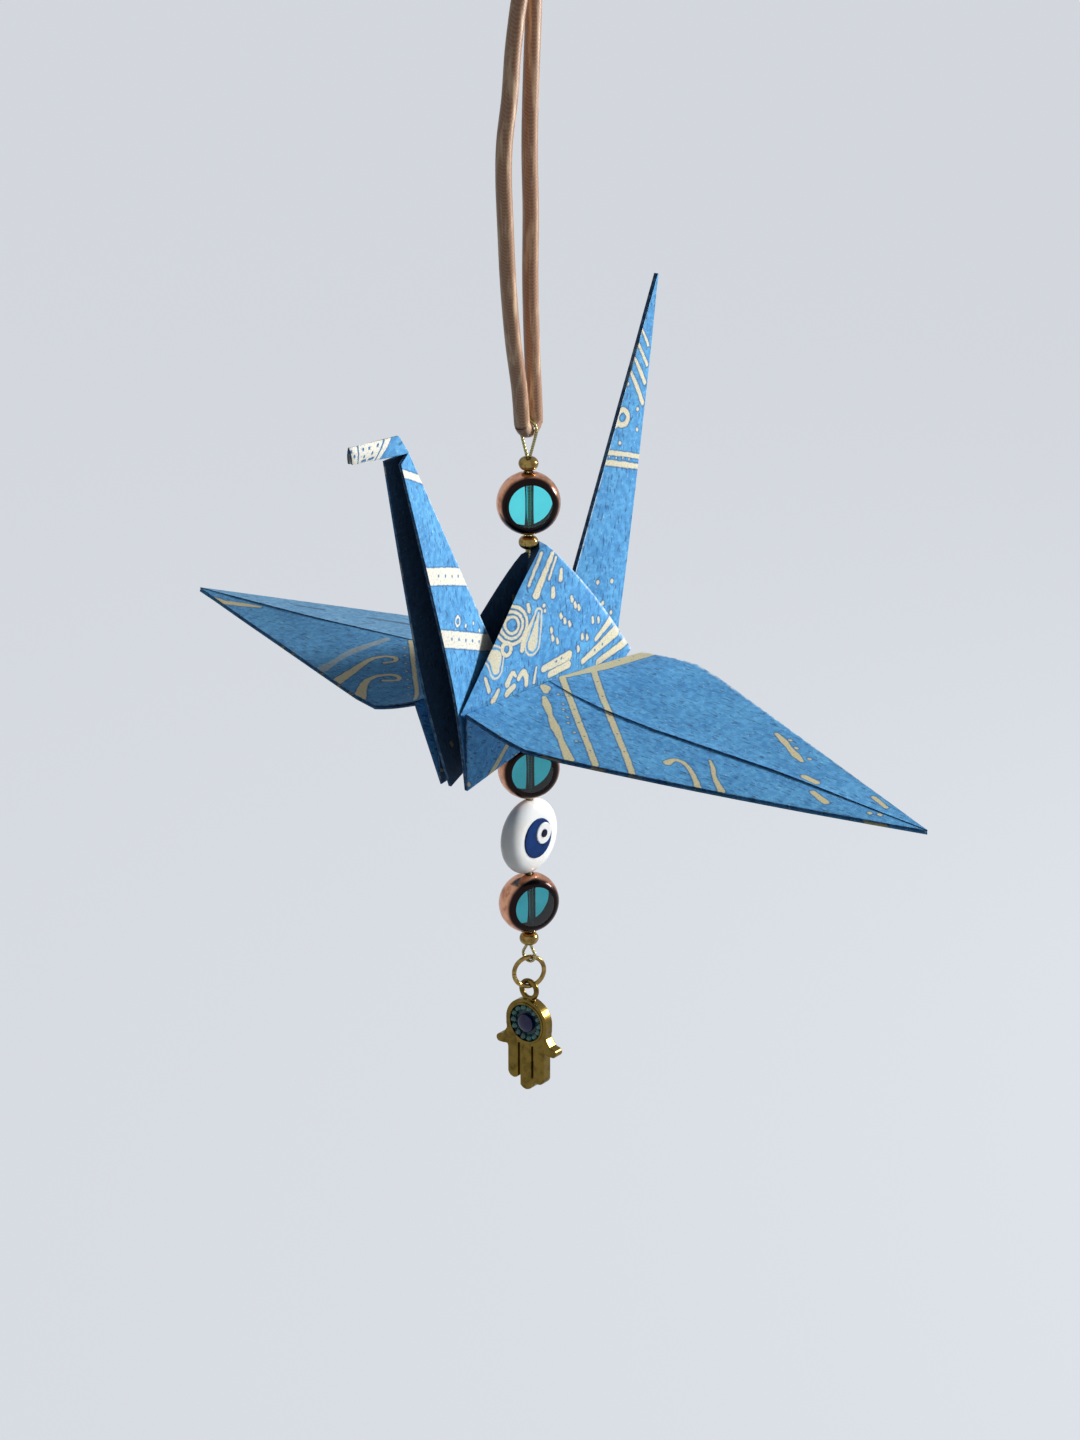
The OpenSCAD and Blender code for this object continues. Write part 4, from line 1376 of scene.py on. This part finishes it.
@dataclass(frozen=True)
class Wing:
    """How one wing lies: its print, its angles and the set of its paper."""

    side: int
    upper: Patch
    upper_back: Patch
    under: Patch
    droop: float
    sweep: float
    ridge: float
    twist: float
    sag: float
    kink_out: float
    length: float
    seam: tuple[Flat, ...]

    def crease_at(self, y: float) -> float:
        """How far the upper halves' seam lies towards the head from the centre, at a distance out."""
        for (y0, s0), (y1, s1) in zip(self.seam, self.seam[1:]):
            if y <= y1:
                return s0 + (s1 - s0) * (y - y0) / (y1 - y0)
        return self.seam[-1][1]

    @property
    def out(self) -> Vector:
        """Direction of the wing's centre crease."""
        droop, sweep = math.radians(self.droop), math.radians(self.sweep)
        return Vector((-self.side * math.sin(sweep), self.side * math.cos(droop) * math.cos(sweep),
                       -math.sin(droop)))


@dataclass(frozen=True)
class FoldedPoint:
    """The neck or the tail: a narrow point of the sheet, folded in half along its spine."""

    end: int
    patch: Patch
    lean: float
    length: float
    top_w: float
    top_open: float
    bulge: float

    @property
    def rise(self) -> Vector:
        """Direction up its open edge."""
        lean = math.radians(self.lean)
        return Vector((self.end * math.sin(lean), 0, math.cos(lean)))

    @property
    def deep(self) -> Vector:
        """Direction from its open edge to its spine."""
        lean = math.radians(self.lean)
        return Vector((-self.end * math.cos(lean), 0, math.sin(lean)))


@dataclass
class Crane:
    """Crane folded from one square of paper; its points are worked out from the folds."""

    paper_side: float = 120.0
    point_angle: float = 13.8
    body_open: float = 7.0
    belly_open: float = 2.8
    belly_dip: float = 3.0
    draw_in: float = 0.5
    hinge_slit: float = 0.8
    peak_z: float = -69.93
    puff: float = 0.38
    foot_open: float = 2.8
    valley_x: float = 1.6
    spine_y: float = 0.2
    spine_share: float = 0.55
    bulge_at: float = 0.36
    edge_y: float = 0.504
    head_len: float = 8.7
    head_lift: float = 1.5
    beak_end: float = 1.9
    beak_back: float = 0.2
    crown: Flat = (0.54, 0.8)
    chin: Flat = (1.7, 0.12)
    ply: float = 0.17
    ply_gap: float = 0.11
    back_gap: float = 0.176
    inner_inset: float = 0.24
    body_ply_t: float = 0.221
    head_ply_t: float = 0.238
    least_half: float = 0.05
    lap: float = 0.15
    lap_lift: float = 0.12
    seam_fade: float = 6.0
    kink_round: float = 0.5
    kink_reach: float = 2.2
    hump_bow: Flat = (0.3, 0.05)
    point_bow: float = 0.25
    taper_bend: float = 0.35
    beak_bow: float = 0.12
    beak_print: float = 2.2
    cap_print: float = -1.5
    lip: float = 0.22
    tip_lift: Spot = (-0.8, 1.1, 1.2)
    tip_reach: float = 0.3
    tail_spread: Spot = (-0.7, 0.4, 0.0)
    tail_bow: Spot = (-0.8, 0.0, 0.3)
    far_foot: float = 2.7
    near_gape: Spot = (-1.0, 1.3, -0.5)
    far_gape: Spot = (0.0, -1.2, 0.0)
    cockle: float = 0.10
    cockle_scale: float = 0.14
    cockle_from: Spot = (3.1, 7.7, 1.9)
    margin: float = 0.03
    divisions: int = 16
    kink_row: int = 6
    wings: tuple[Wing, ...] = (
        Wing(side=1, upper=Patch.LEFT_WING, upper_back=Patch.LEFT_WING, under=Patch.RIGHT_WING,
             droop=11.1, sweep=7.0, ridge=0.0, twist=2.3, sag=0.3, kink_out=9.2, length=52.5,
             seam=((0.0, 0.3), (4.0, 1.4), (9.0, 2.1), (16.0, 2.2), (25.0, 1.2), (33.0, 0.3), (52.5, 0.1))),
        Wing(side=-1, upper=Patch.RIGHT_WING, upper_back=Patch.PALE_WING, under=Patch.LEFT_WING,
             droop=-2.1, sweep=1.5, ridge=1.4, twist=0.0, sag=0.0, kink_out=6.4, length=51.9,
             seam=((0.0, -1.8), (15.0, -1.7), (24.0, -0.8), (32.0, 0.0), (51.9, 0.0))),
    )
    neck: FoldedPoint = FoldedPoint(end=1, patch=Patch.NECK, lean=14.9, length=45.0, top_w=2.8,
                                    top_open=2.7, bulge=5.1)
    tail: FoldedPoint = FoldedPoint(end=-1, patch=Patch.TAIL, lean=12.1, length=59.3, top_w=0.2,
                                    top_open=0.4, bulge=2.5)
    # The wings and belly take a darker copy of the ink as painted shade, the neck and head a paler copy as
    # painted light.
    ink: Colour = (0.86, 0.78, 0.54)
    lit_ink: Colour = (0.90, 0.87, 0.74)
    shaded_ink: Colour = (0.78, 0.68, 0.38)
    finishes: dict[Patch, bpy.types.Material] = field(default_factory=dict)

    def __post_init__(self) -> None:
        """Works out the fold points' distances."""
        half = self.paper_side / 2
        petal = math.sqrt(2) - 1
        taper = math.tan(math.radians(self.point_angle))
        self.hump_w = half * math.sqrt(2) * taper / (1 + taper)
        self.hinge_rise = half * petal - self.hump_w
        self.hinge_drop = math.sqrt(self.hump_w ** 2 - (self.body_open / 2) ** 2)
        self.waist_drop = math.sqrt(self.hinge_rise ** 2 - ((self.body_open - self.belly_open) / 2) ** 2)
        self.waist_w = half * taper
        kink_rise = half * (petal - taper) / (petal + taper)
        self.kink_w = petal * (half - kink_rise)
        self.hump_y = self.body_open / 2 - self.hinge_slit
        self.tuck = self.hinge_slit / (self.hump_y / self.hinge_drop
                                       + (self.body_open - self.belly_open) / 2 / self.waist_drop)
        self.tuck_k = 1 + self.tuck / self.hinge_drop

    @cached_property
    def shares(self) -> list[float]:
        """Places of the grid lines across a sheet, with one close to each edge for the fold's wear."""
        between = 1 - 2 * self.margin
        inner = [self.margin + between * i / self.divisions for i in range(self.divisions + 1)]
        return [0.0, *inner, 1.0]

    def hinge_corner(self, end: int, side: int) -> Vector:
        """Corner of the body where a wing's fold starts."""
        at = Vector((end * self.hump_w, side * self.body_open / 2, -self.hinge_drop))
        return at + self.gape(end, side)

    def gape(self, end: int, side: int) -> Vector:
        """How far a wing's root stands open at one of its corners, by the hand that folded it."""
        return Vector({(-1, 1): self.near_gape, (1, -1): self.far_gape}.get((end, side), (0.0, 0.0, 0.0)))

    def hump_edge(self, end: int, side: int, a: float) -> Vector:
        """Point on the hump's edge, rounded over below the peak; the left side stands up beside the wire.

        Args:
            end: 1 for the head end, -1 for the tail end.
            side: 1 for the left side, -1 for the right.
            a: Share of the way from the peak down to the hump's lower corner.

        Returns:
            The point.
        """
        at = Vector((end * self.hump_w * a, side * self.hump_y * a ** self.puff, -self.hinge_drop * a))
        if side > 0 and end < 0:
            at += Vector(self.tip_lift) * ((1 - a) * (1 - a / 2))
            at += Vector(self.tail_spread) * a + Vector(self.tail_bow) * math.sin(math.pi * a)
        elif side > 0 and a < self.tip_reach:
            at += Vector(self.tip_lift) * (1 - a / self.tip_reach) ** 2
        return at

    def tuck_corner(self, end: int, side: int) -> Vector:
        """Corner where the hump ends behind the side panel."""
        return Vector((end * (self.hump_w - self.tuck), side * self.hump_y * self.tuck_k,
                       -self.hinge_drop * self.tuck_k))

    def belly_middle(self, side: int) -> Vector:
        """Middle of the lower edge of the body's side."""
        return Vector((0, side * self.belly_open / 2, -self.hinge_drop - self.waist_drop))

    def belly_corner(self, end: int, side: int) -> Vector:
        """Low corner of the body's side, under the neck or the tail."""
        return self.foot(end) + Vector((0, self.belly_open / 2 if side > 0 else -self.far_foot, 0))

    def foot(self, end: int) -> Vector:
        """Foot of the neck's or the tail's open edge, midway between its halves."""
        return Vector((end * (self.waist_w - self.draw_in), 0,
                       -self.hinge_drop - self.waist_drop - self.belly_dip))

    def valley(self, end: int) -> Vector:
        """Deepest point of the fold inside each end of the body."""
        return Vector((end * self.valley_x, 0, -self.hinge_drop - self.waist_drop / 2))

    def ripple(self, at: Vector, edge: float) -> float:
        """Slight cockle of the paper, still at its folds.

        Args:
            at: A point on the sheet.
            edge: 1 at the sheet's edges and 0 inside.

        Returns:
            How far the paper stands proud there.
        """
        return self.cockle * (1 - edge) * noise.noise(at * self.cockle_scale + Vector(self.cockle_from))

    def lay(self, bm: bmesh.types.BMesh, patch: Patch, place: Callable[[float, float], Vector],
            flat: Callable[[float, float], Flat], worn_and_lit: Edge = Edge.NONE) -> None:
        """Lays one ply of paper as a grid of faces.

        Args:
            bm: The sheet that it is added to.
            patch: The part of the print on it.
            place: Gives the point at a share across and a share along.
            flat: Gives the place on the flat sheet at the same shares.
            worn_and_lit: Edges whose fold is rubbed pale and painted with a highlight.
        """
        shares = self.shares
        last = len(shares) - 1
        uv = bm.loops.layers.uv["sheet"]
        fold = bm.verts.layers.float["fold"]
        made = bmesh.ops.create_grid(bm, x_segments=last, y_segments=last, size=1.0)["verts"]
        spots: dict[bmesh.types.BMVert, Flat] = {}
        for vert in made:
            i, j = (round((part + 1) / 2 * last) for part in vert.co[:2])
            across, along = shares[i], shares[j]
            reached = ((Edge.FIRST, i == 0), (Edge.LAST, i == last),
                       (Edge.FOOT, j == 0), (Edge.TIP, j == last))
            edges = [edge for edge, touched in reached if touched]
            at = place(across, along)
            lift = self.ripple(at, 1.0 if edges else 0.0)
            vert.co = (at + Vector((0, lift, self.peak_z + lift))) * MM
            vert[fold] = 1.0 if any(edge in worn_and_lit for edge in edges) else 0.0
            spots[vert] = flat(across, along)
        for face in {face for vert in made for face in vert.link_faces}:
            face.material_index = patch.value
            for loop in face.loops:
                x, y = spots[loop.vert]
                loop[uv].uv = (x / SHEET_SPAN, y / SHEET_SPAN)

    def new_sheet(self) -> bmesh.types.BMesh:
        """Starts a sheet with its print map and its fold attribute."""
        bm = bmesh.new()
        bm.loops.layers.uv.new("sheet")
        bm.verts.layers.float.new("fold")
        return bm

    def ply_of(self, bm: bmesh.types.BMesh, thickness: float) -> bpy.types.Mesh:
        """Welds a sheet's panels along their folds and gives it thickness.

        Args:
            bm: The sheet, which is freed.
            thickness: Thickness of the ply in millimetres.

        Returns:
            The mesh.
        """
        bmesh.ops.remove_doubles(bm, verts=bm.verts, dist=FOLD_WELD)
        bmesh.ops.dissolve_degenerate(bm, edges=bm.edges, dist=WELD)
        bmesh.ops.recalc_face_normals(bm, faces=bm.faces)
        mesh = bpy.data.meshes.new("ply")
        bm.to_mesh(mesh)
        bm.free()
        for patch in Patch:
            mesh.materials.append(self.finishes[patch])
        helper = link(bpy.data.objects.new("ply", mesh))
        solid = helper.modifiers.new("thickness", "SOLIDIFY")
        solid.thickness = thickness * MM
        solid.offset = 0.0
        solid.material_offset_rim = len(Patch)
        return baked(helper)

    def fan(self, bm: bmesh.types.BMesh, patch: Patch, apex: Vector, first: Vector, second: Vector) -> None:
        """Lays a three-cornered panel, its print measured from its apex.

        Args:
            bm: The sheet.
            patch: The part of the print on it.
            apex: The corner that the rows start from.
            first: The next corner.
            second: The last corner.
        """
        side = (first - apex).normalized()
        across = (second - apex) - side * (second - apex).dot(side)
        across.normalize()

        def place(b: float, a: float) -> Vector:
            """Point at a share of the way down and across."""
            return apex + (first - apex) * (a * (1 - b)) + (second - apex) * (a * b)

        def flat(b: float, a: float) -> Flat:
            """Place in the panel's own plane."""
            gap = place(b, a) - apex
            return gap.dot(across), gap.dot(side)

        self.lay(bm, patch, place, flat)

    def lay_hump(self, bm: bmesh.types.BMesh, side: int) -> None:
        """Lays one side of the hump, puffed and rounded over, and the strip behind the wing's fold.

        Args:
            bm: The sheet.
            side: 1 for the left side, -1 for the right.
        """
        head, tail = self.hump_edge(1, side, 1.0), self.hump_edge(-1, side, 1.0)
        head_tuck, tail_tuck = self.tuck_corner(1, side), self.tuck_corner(-1, side)
        slope = math.hypot(self.hump_y, self.hinge_drop)

        def hump(b: float, a: float) -> Vector:
            """Point on the hump."""
            aside, up = self.hump_bow
            bow = Vector((0, side * aside, up)) * math.sin(math.pi * a) * math.sin(math.pi * b)
            return self.hump_edge(1, side, a).lerp(self.hump_edge(-1, side, a), b) + bow

        def hump_flat(b: float, a: float) -> Flat:
            """Place on the hump's flat sheet."""
            return self.hump_w * a * (1 - 2 * b), slope * a

        def strip(b: float, a: float) -> Vector:
            """Point on the strip behind the wing's fold."""
            return head.lerp(head_tuck, a).lerp(tail.lerp(tail_tuck, a), b)

        def strip_flat(b: float, a: float) -> Flat:
            """Place on the strip's flat sheet."""
            return (self.hump_w - self.tuck * a) * (1 - 2 * b), slope * (1 + (self.tuck_k - 1) * a)

        self.lay(bm, Patch.HUMP, hump, hump_flat, Edge.LAST | Edge.FOOT)
        self.lay(bm, Patch.HUMP, strip, strip_flat)

    def lay_valley(self, bm: bmesh.types.BMesh, end: int, side: int) -> None:
        """Lays the paper that folds in from one edge of the hump to the valley at one end of the body.

        Args:
            bm: The sheet.
            end: 1 for the head end, -1 for the tail end.
            side: 1 for the left side, -1 for the right.
        """
        valley, tuck = self.valley(end), self.tuck_corner(end, side)

        def place(b: float, a: float) -> Vector:
            """Point from the hump's edge in to the valley's line."""
            return self.hump_edge(end, side, a).lerp(valley * a, b)

        def flat(b: float, a: float) -> Flat:
            """Place on the fold's flat sheet."""
            return self.hump_w * a * (1 - b), self.hinge_drop * a

        self.lay(bm, Patch.INSIDE, place, flat, Edge.FIRST if end < 0 else Edge.NONE)
        self.fan(bm, Patch.INSIDE, valley, self.hump_edge(end, side, 1.0), tuck)
        self.fan(bm, Patch.INSIDE, valley, tuck, self.belly_corner(end, side))

    def body_ply(self) -> bpy.types.Mesh:
        """Folds the hump, the body's sides and the valleys at both ends."""
        bm = self.new_sheet()
        for side in (1, -1):
            middle = self.belly_middle(side)
            self.lay_hump(bm, side)
            self.fan(bm, Patch.BELLY, middle, self.hinge_corner(1, side), self.hinge_corner(-1, side))
            for end in (1, -1):
                self.lay_valley(bm, end, side)
                corner, low = self.hinge_corner(end, side), self.belly_corner(end, side)
                self.fan(bm, Patch.BELLY, middle, corner, low)
        return self.ply_of(bm, self.body_ply_t)

    def wing_half(self, bm: bmesh.types.BMesh, patch: Patch, wing: Wing, end: int, lift: float,
                  upper: bool) -> None:
        """Lays one half of a wing, from its centre crease to one edge.

        Args:
            bm: The sheet.
            patch: The part of the print on it.
            wing: The wing.
            end: 1 for the half nearer the head, -1 for the tail.
            lift: Height of the ply above the wing's middle.
            upper: True for an upper half, whose inner edge follows the seam.
        """
        root = Vector((0, wing.side * self.body_open / 2, -self.hinge_drop))
        kink, turn = wing.kink_out / wing.length, self.shares[self.kink_row]
        corner_drop = wing.ridge + end * self.kink_w * math.sin(math.radians(wing.twist))

        def width(y: float) -> float:
            """Half width of the wing at a distance from its fold, its widest corner a little rounded."""
            softer = self.kink_round * math.exp(-((y - wing.kink_out) / self.kink_reach) ** 2)
            if y < wing.kink_out:
                return self.hump_w + (self.kink_w - self.hump_w - softer) * y / wing.kink_out
            return self.kink_w * (wing.length - y) / (wing.length - wing.kink_out) - softer

        def spot(b: float, a: float) -> Flat:
            """Distance across from the crease and out from the fold."""
            y = wing.length * (kink * a / turn if a < turn else kink + (1 - kink) * (a - turn) / (1 - turn))
            inner = 0.0
            if upper:
                seam = wing.crease_at(y) * min(1.0, (wing.length - y) / self.seam_fade)
                inner = -seam if end < 0 else min(0.0, seam) - self.lap
            return inner + (width(y) - inner) * b if y < wing.length else 0.0, y

        def place(b: float, a: float) -> Vector:
            """Point on the wing, its front edge sagging and its seam standing a little proud."""
            x, y = spot(b, a)
            drop = corner_drop * min(y / wing.kink_out, max(x, 0.0) / self.kink_w)
            run = max(0.0, (y - wing.kink_out) / (wing.length - wing.kink_out))
            if end > 0:
                drop += wing.sag * math.sin(math.pi * run) * b ** 2
                drop += 0.0 if upper else self.lip * b ** 8
            elif upper:
                drop -= self.lap_lift * math.sin(math.pi * min(1.0, y / wing.length)) * (1 - b) ** 6
            open_share = max(0.0, x / self.hump_w) ** 1.5 * max(0.0, 1 - y / wing.kink_out) ** 2
            gape = self.gape(end, wing.side) * open_share
            return root + Vector((end * x, 0, lift - drop)) + wing.out * y + gape

        def flat(b: float, a: float) -> Flat:
            """Place on the wing's flat sheet."""
            x, y = spot(b, a)
            return end * x, y + end * x * wing.out.x

        self.lay(bm, patch, place, flat, Edge.LAST if upper and end < 0 else Edge.NONE)

    def wing_plies(self, wing: Wing) -> list[bpy.types.Mesh]:
        """Folds one wing: an under ply in one piece and two upper halves that meet on the seam.

        Args:
            wing: The wing.

        Returns:
            The meshes of its plies.
        """
        under = self.new_sheet()
        for end in (1, -1):
            self.wing_half(under, wing.under, wing, end, -self.ply_gap, False)
        plies = [self.ply_of(under, self.ply)]
        for patch, end, lift in ((wing.upper, 1, self.ply_gap), (wing.upper_back, -1, self.back_gap)):
            half = self.new_sheet()
            self.wing_half(half, patch, wing, end, lift, True)
            plies.append(self.ply_of(half, self.ply))
        return plies

    def point_plies(self, point: FoldedPoint) -> list[bpy.types.Mesh]:
        """Folds the neck or the tail: two halves, each of an outer and an inner ply.

        Args:
            point: The neck or the tail.

        Returns:
            The meshes of its plies.
        """
        foot = self.foot(point.end)
        spine_drop = self.hinge_drop + self.waist_drop * self.spine_share
        spine_foot = Vector((point.end * self.valley_x, 0, -spine_drop))
        spine_top = foot + point.rise * point.length + point.deep * point.top_w

        def open_half(a: float) -> float:
            """Half the gap between the two open edges, at a share of the length."""
            if a < self.bulge_at:
                t = math.sin(a / self.bulge_at * math.pi / 2)
                return (self.foot_open + (point.bulge - self.foot_open) * t) / 2
            t = (a - self.bulge_at) / (1 - self.bulge_at)
            t = t * t * self.taper_bend + t * (1 - self.taper_bend)
            return (point.bulge + (point.top_open - point.bulge) * t) / 2

        plies = []
        for side in (1, -1):
            for inset, patch in ((0.0, point.patch), (self.inner_inset, Patch.INSIDE)):

                def place(b: float, a: float) -> Vector:
                    """Point from the open edge to the spine, bowed out a little."""
                    edge = foot + point.rise * (point.length * a)
                    spine = spine_foot.lerp(spine_top, a)
                    bow = self.point_bow * math.sin(math.pi * b) * (1 - a)
                    y = open_half(a) * (1 - b) + self.spine_y * b + bow
                    return edge.lerp(spine, b) + Vector((0, side * max(self.least_half, y - inset), 0))

                def flat(b: float, a: float) -> Flat:
                    """Depth from the open edge and height up the point."""
                    gap = place(b, a) - foot
                    return gap.dot(point.deep), gap.dot(point.rise)

                bm = self.new_sheet()
                self.lay(bm, patch, place, flat, Edge.LAST)
                plies.append(self.ply_of(bm, self.ply))
        return plies

    def head_ply(self) -> bpy.types.Mesh:
        """Folds the beak: two sides that meet along its top."""
        depth, lift = self.neck.top_w, math.radians(self.head_lift)
        nape = self.foot(1) + self.neck.rise * self.neck.length + self.neck.deep * depth
        crown = nape + Vector((self.crown[0], 0, self.crown[1])) * depth
        beak = crown + Vector((math.cos(lift), 0, math.sin(lift))) * self.head_len
        bm = self.new_sheet()
        for side in (1, -1):
            aside = Vector((0, side, 0))
            chin = nape + Vector((self.chin[0], 0, self.chin[1])) * depth + aside * self.edge_y
            low = beak + Vector((-self.beak_back, 0, -self.beak_end)) + aside * self.edge_y * 0.5

            def beak_side(b: float, a: float) -> Vector:
                """Point on the beak from its ridge down to its lower edge."""
                bow = aside * (self.beak_bow * math.sin(math.pi * b))
                return crown.lerp(beak, a).lerp(chin.lerp(low, a), b) + bow

            def beak_flat(b: float, a: float) -> Flat:
                """Place along and down the beak."""
                return self.head_len * a, self.beak_print * b

            def cap(b: float, a: float) -> Vector:
                """Point on the fold between the neck and the beak."""
                return (nape + aside * self.spine_y).lerp(crown, b).lerp(chin, a)

            def cap_flat(b: float, a: float) -> Flat:
                """Place on the head's fold."""
                return self.cap_print + b, self.beak_print * a

            self.lay(bm, Patch.HEAD, beak_side, beak_flat, Edge.FIRST)
            self.lay(bm, Patch.HEAD, cap, cap_flat)
        return self.ply_of(bm, self.head_ply_t)

    def build(self) -> None:
        """Folds the whole crane as one piece."""
        prints = {Patch.HUMP: HUMP_PRINT, Patch.LEFT_WING: LEFT_WING_PRINT,
                  Patch.RIGHT_WING: RIGHT_WING_PRINT, Patch.NECK: NECK_PRINT, Patch.TAIL: TAIL_PRINT,
                  Patch.HEAD: HEAD_PRINT, Patch.BELLY: BELLY_PRINT}
        inks = {Patch.LEFT_WING: self.shaded_ink, Patch.RIGHT_WING: self.shaded_ink, Patch.BELLY: self.shaded_ink,
                Patch.NECK: self.lit_ink, Patch.HEAD: self.lit_ink}
        for patch, printed in prints.items():
            name = f"paper_{patch.name.lower()}"
            self.finishes[patch] = PrintedPaper(name, printed, cream=inks.get(patch, self.ink)).make()
        # Painted shade: the inside paper's dark colours stand in for the shadow deep inside the folds.
        self.finishes[Patch.INSIDE] = PrintedPaper(
            "paper_inside", INSIDE_PRINT, shade=(0.003, 0.012, 0.035), blue=(0.008, 0.035, 0.085),
            light=(0.020, 0.075, 0.160), cream=(0.30, 0.26, 0.17), fibre=(0.10, 0.17, 0.25)).make()
        # Painted light: the far wing's tail half gets lighter paper, where that half faces the lamp.
        self.finishes[Patch.PALE_WING] = PrintedPaper(
            "paper_pale_wing", LIT_WING_PRINT, shade=(0.040, 0.160, 0.330), blue=(0.120, 0.370, 0.650),
            light=(0.260, 0.560, 0.860), cream=(0.030, 0.110, 0.250)).make()
        self.finishes[Patch.EDGE] = PaperEdge().make()
        plies = [self.body_ply(), self.head_ply()]
        for point in (self.neck, self.tail):
            plies += self.point_plies(point)
        for wing in self.wings:
            plies += self.wing_plies(wing)
        finishes = [self.finishes[patch] for patch in Patch]
        paper = piece_from(joined(plies), "folded_paper_crane", *finishes, sharp=22)
        settle(paper, Body.CRANE, Slot.PAPER, "crane")


@dataclass
class Studio:
    """Plain pale floor and soft light, the key from the right."""

    floor_z: float = -215.0
    floor_size: float = 6000.0
    floor_colour: Colour = (0.38, 0.40, 0.43)
    middle_z: float = -95.0
    key_at: Spot = (480.0, 150.0, -130.0)
    key_size: float = 110.0
    key_watts: float = 3.9
    fill_at: Spot = (-380.0, 160.0, 420.0)
    fill_size: float = 420.0
    fill_watts: float = 0.07
    world_light: float = 0.15
    shown: float = 0.92
    evenness: float = 0.76
    pale: Colour = (0.90, 0.94, 1.0)

    def lamp(self, camera: Camera, name: str, at: Spot, size: float, watts: float) -> None:
        """Adds a soft square lamp that faces the middle of the ornament.

        Args:
            camera: The camera, whose directions place the lamp.
            name: Its name.
            at: Its place to the right of, above and in front of the middle, in millimetres.
            size: Its side.
            watts: Its power.
        """
        right, _, back = camera.axes()
        level = Vector((back.x, back.y, 0)).normalized()
        away = right * at[0] + Vector((0, 0, at[1])) + level * at[2]
        data = bpy.data.lights.new(name, "AREA")
        data.size = size * MM
        data.energy = watts
        lamp = link(bpy.data.objects.new(name, data))
        lamp.location = (Vector((0, 0, self.middle_z)) + away) * MM
        lamp.rotation_euler = (-away).to_track_quat("-Z", "Y").to_euler()

    def seen(self, bench: NodeBench) -> bpy.types.NodeSocket:
        """1 for rays that show the background to the camera, metal or glass, 0 for rays of light."""
        path = bench.add("LightPath").outputs
        mirror = bench.math("MAXIMUM", path["Is Glossy Ray"], path["Is Transmission Ray"])
        return bench.math("MAXIMUM", path["Is Camera Ray"], mirror)

    def build(self, camera: Camera) -> None:
        """Makes the lamps, the floor and the world.

        Args:
            camera: The camera, whose directions place the lamps.
        """
        self.lamp(camera, "key", self.key_at, self.key_size, self.key_watts)
        self.lamp(camera, "fill", self.fill_at, self.fill_size, self.fill_watts)
        self.build_floor()
        self.build_world()

    def build_floor(self) -> None:
        """Makes the floor: evenly pale where it is seen, with part of its shadows kept."""
        bm = bmesh.new()
        bmesh.ops.create_grid(bm, x_segments=8, y_segments=8, size=self.floor_size / 2 * MM,
                              matrix=Matrix.Translation((0, 0, self.floor_z * MM)))
        bench = MaterialBench("pale_floor")
        material = bench.dress(Base_Color=rgba(self.floor_colour), Roughness=0.9)
        even = bench.add("Emission", Color=rgba(self.pale), Strength=self.shown)
        mix = bench.add("MixShader", Fac=bench.math("MULTIPLY", self.seen(bench), self.evenness))
        bench.feed(mix.inputs[1], bench.shader.outputs["BSDF"])
        bench.feed(mix.inputs[2], even.outputs["Emission"])
        bench.feed(bench.tree.nodes["Material Output"].inputs["Surface"], mix.outputs["Shader"])
        piece_from(bm, "pale_floor", material)

    def build_world(self) -> None:
        """Lights the scene evenly and shows a pale background to the camera, metal and glass."""
        world = bpy.data.worlds.new("studio")
        bpy.context.scene.world = world
        world.use_nodes = True
        bench = NodeBench(world.node_tree)
        ground = world.node_tree.nodes["Background"]
        ground.inputs["Color"].default_value = rgba(self.pale)
        extra = self.shown * self.evenness - self.world_light
        strength = bench.math("MULTIPLY_ADD", self.seen(bench), extra, self.world_light)
        bench.feed(ground.inputs["Strength"], strength)


def main() -> None:
    """Builds the ornament from the cord down, then the studio."""
    logging.basicConfig(level=logging.INFO, format="%(name)s: %(message)s")
    bpy.context.scene.view_settings.view_transform = "Standard"
    for make_group in (make_stroke_group, make_ring_group, make_paper_group, make_haze_group,
                       make_swirl_group):
        make_group()
    camera = Camera()
    camera.build()
    HangingCord().build()
    BeadWire().build()
    # Both golds are darkened as painted shade: the plate stands in for dark reflections, and the charm's
    # darker copy for its shaded, backlit face.
    gold = Plated("gold_plate", (0.36, 0.24, 0.075), (0.15, 0.095, 0.028), 0.12).make()
    shaded_gold = Plated("gold_plate_painted_shade", (0.19, 0.125, 0.026), (0.10, 0.064, 0.013), 0.2).make()
    # The copper's dark colour near each window is a painted reflection.
    copper = Plated("copper_plate", (0.72, 0.36, 0.22), (0.42, 0.17, 0.09), 0.14,
                    dark=(0.020, 0.012, 0.012)).make()
    glass = ClearGlass().make()
    # The top bead's lighter glass is painted light: the same teal glass, brightened as if lit from behind
    # by a bright background.
    lit_glass = ClearGlass("bead_glass_painted_light", (0.12, 0.94, 1.0), (0.10, 0.86, 0.97)).make()
    CrimpBeads().build(gold)
    for node, body, z, turn, melt in (("top_glass_bead", Body.TOP_BEAD, -63.75, 46.0, lit_glass),
                                      ("middle_glass_bead", Body.MIDDLE_BEAD, -98.466, 52.0, glass),
                                      ("bottom_glass_bead", Body.BOTTOM_BEAD, -116.766, 62.0, glass)):
        GlassBead(node, body, z, turn).build(melt, copper)
    EyeBead().build()
    charm = Charm()
    charm.build_ring(gold)
    charm.build_hand(shaded_gold)
    charm.build_stones()
    Crane().build()
    Studio().build(camera)


if __name__ == "__main__":
    main()
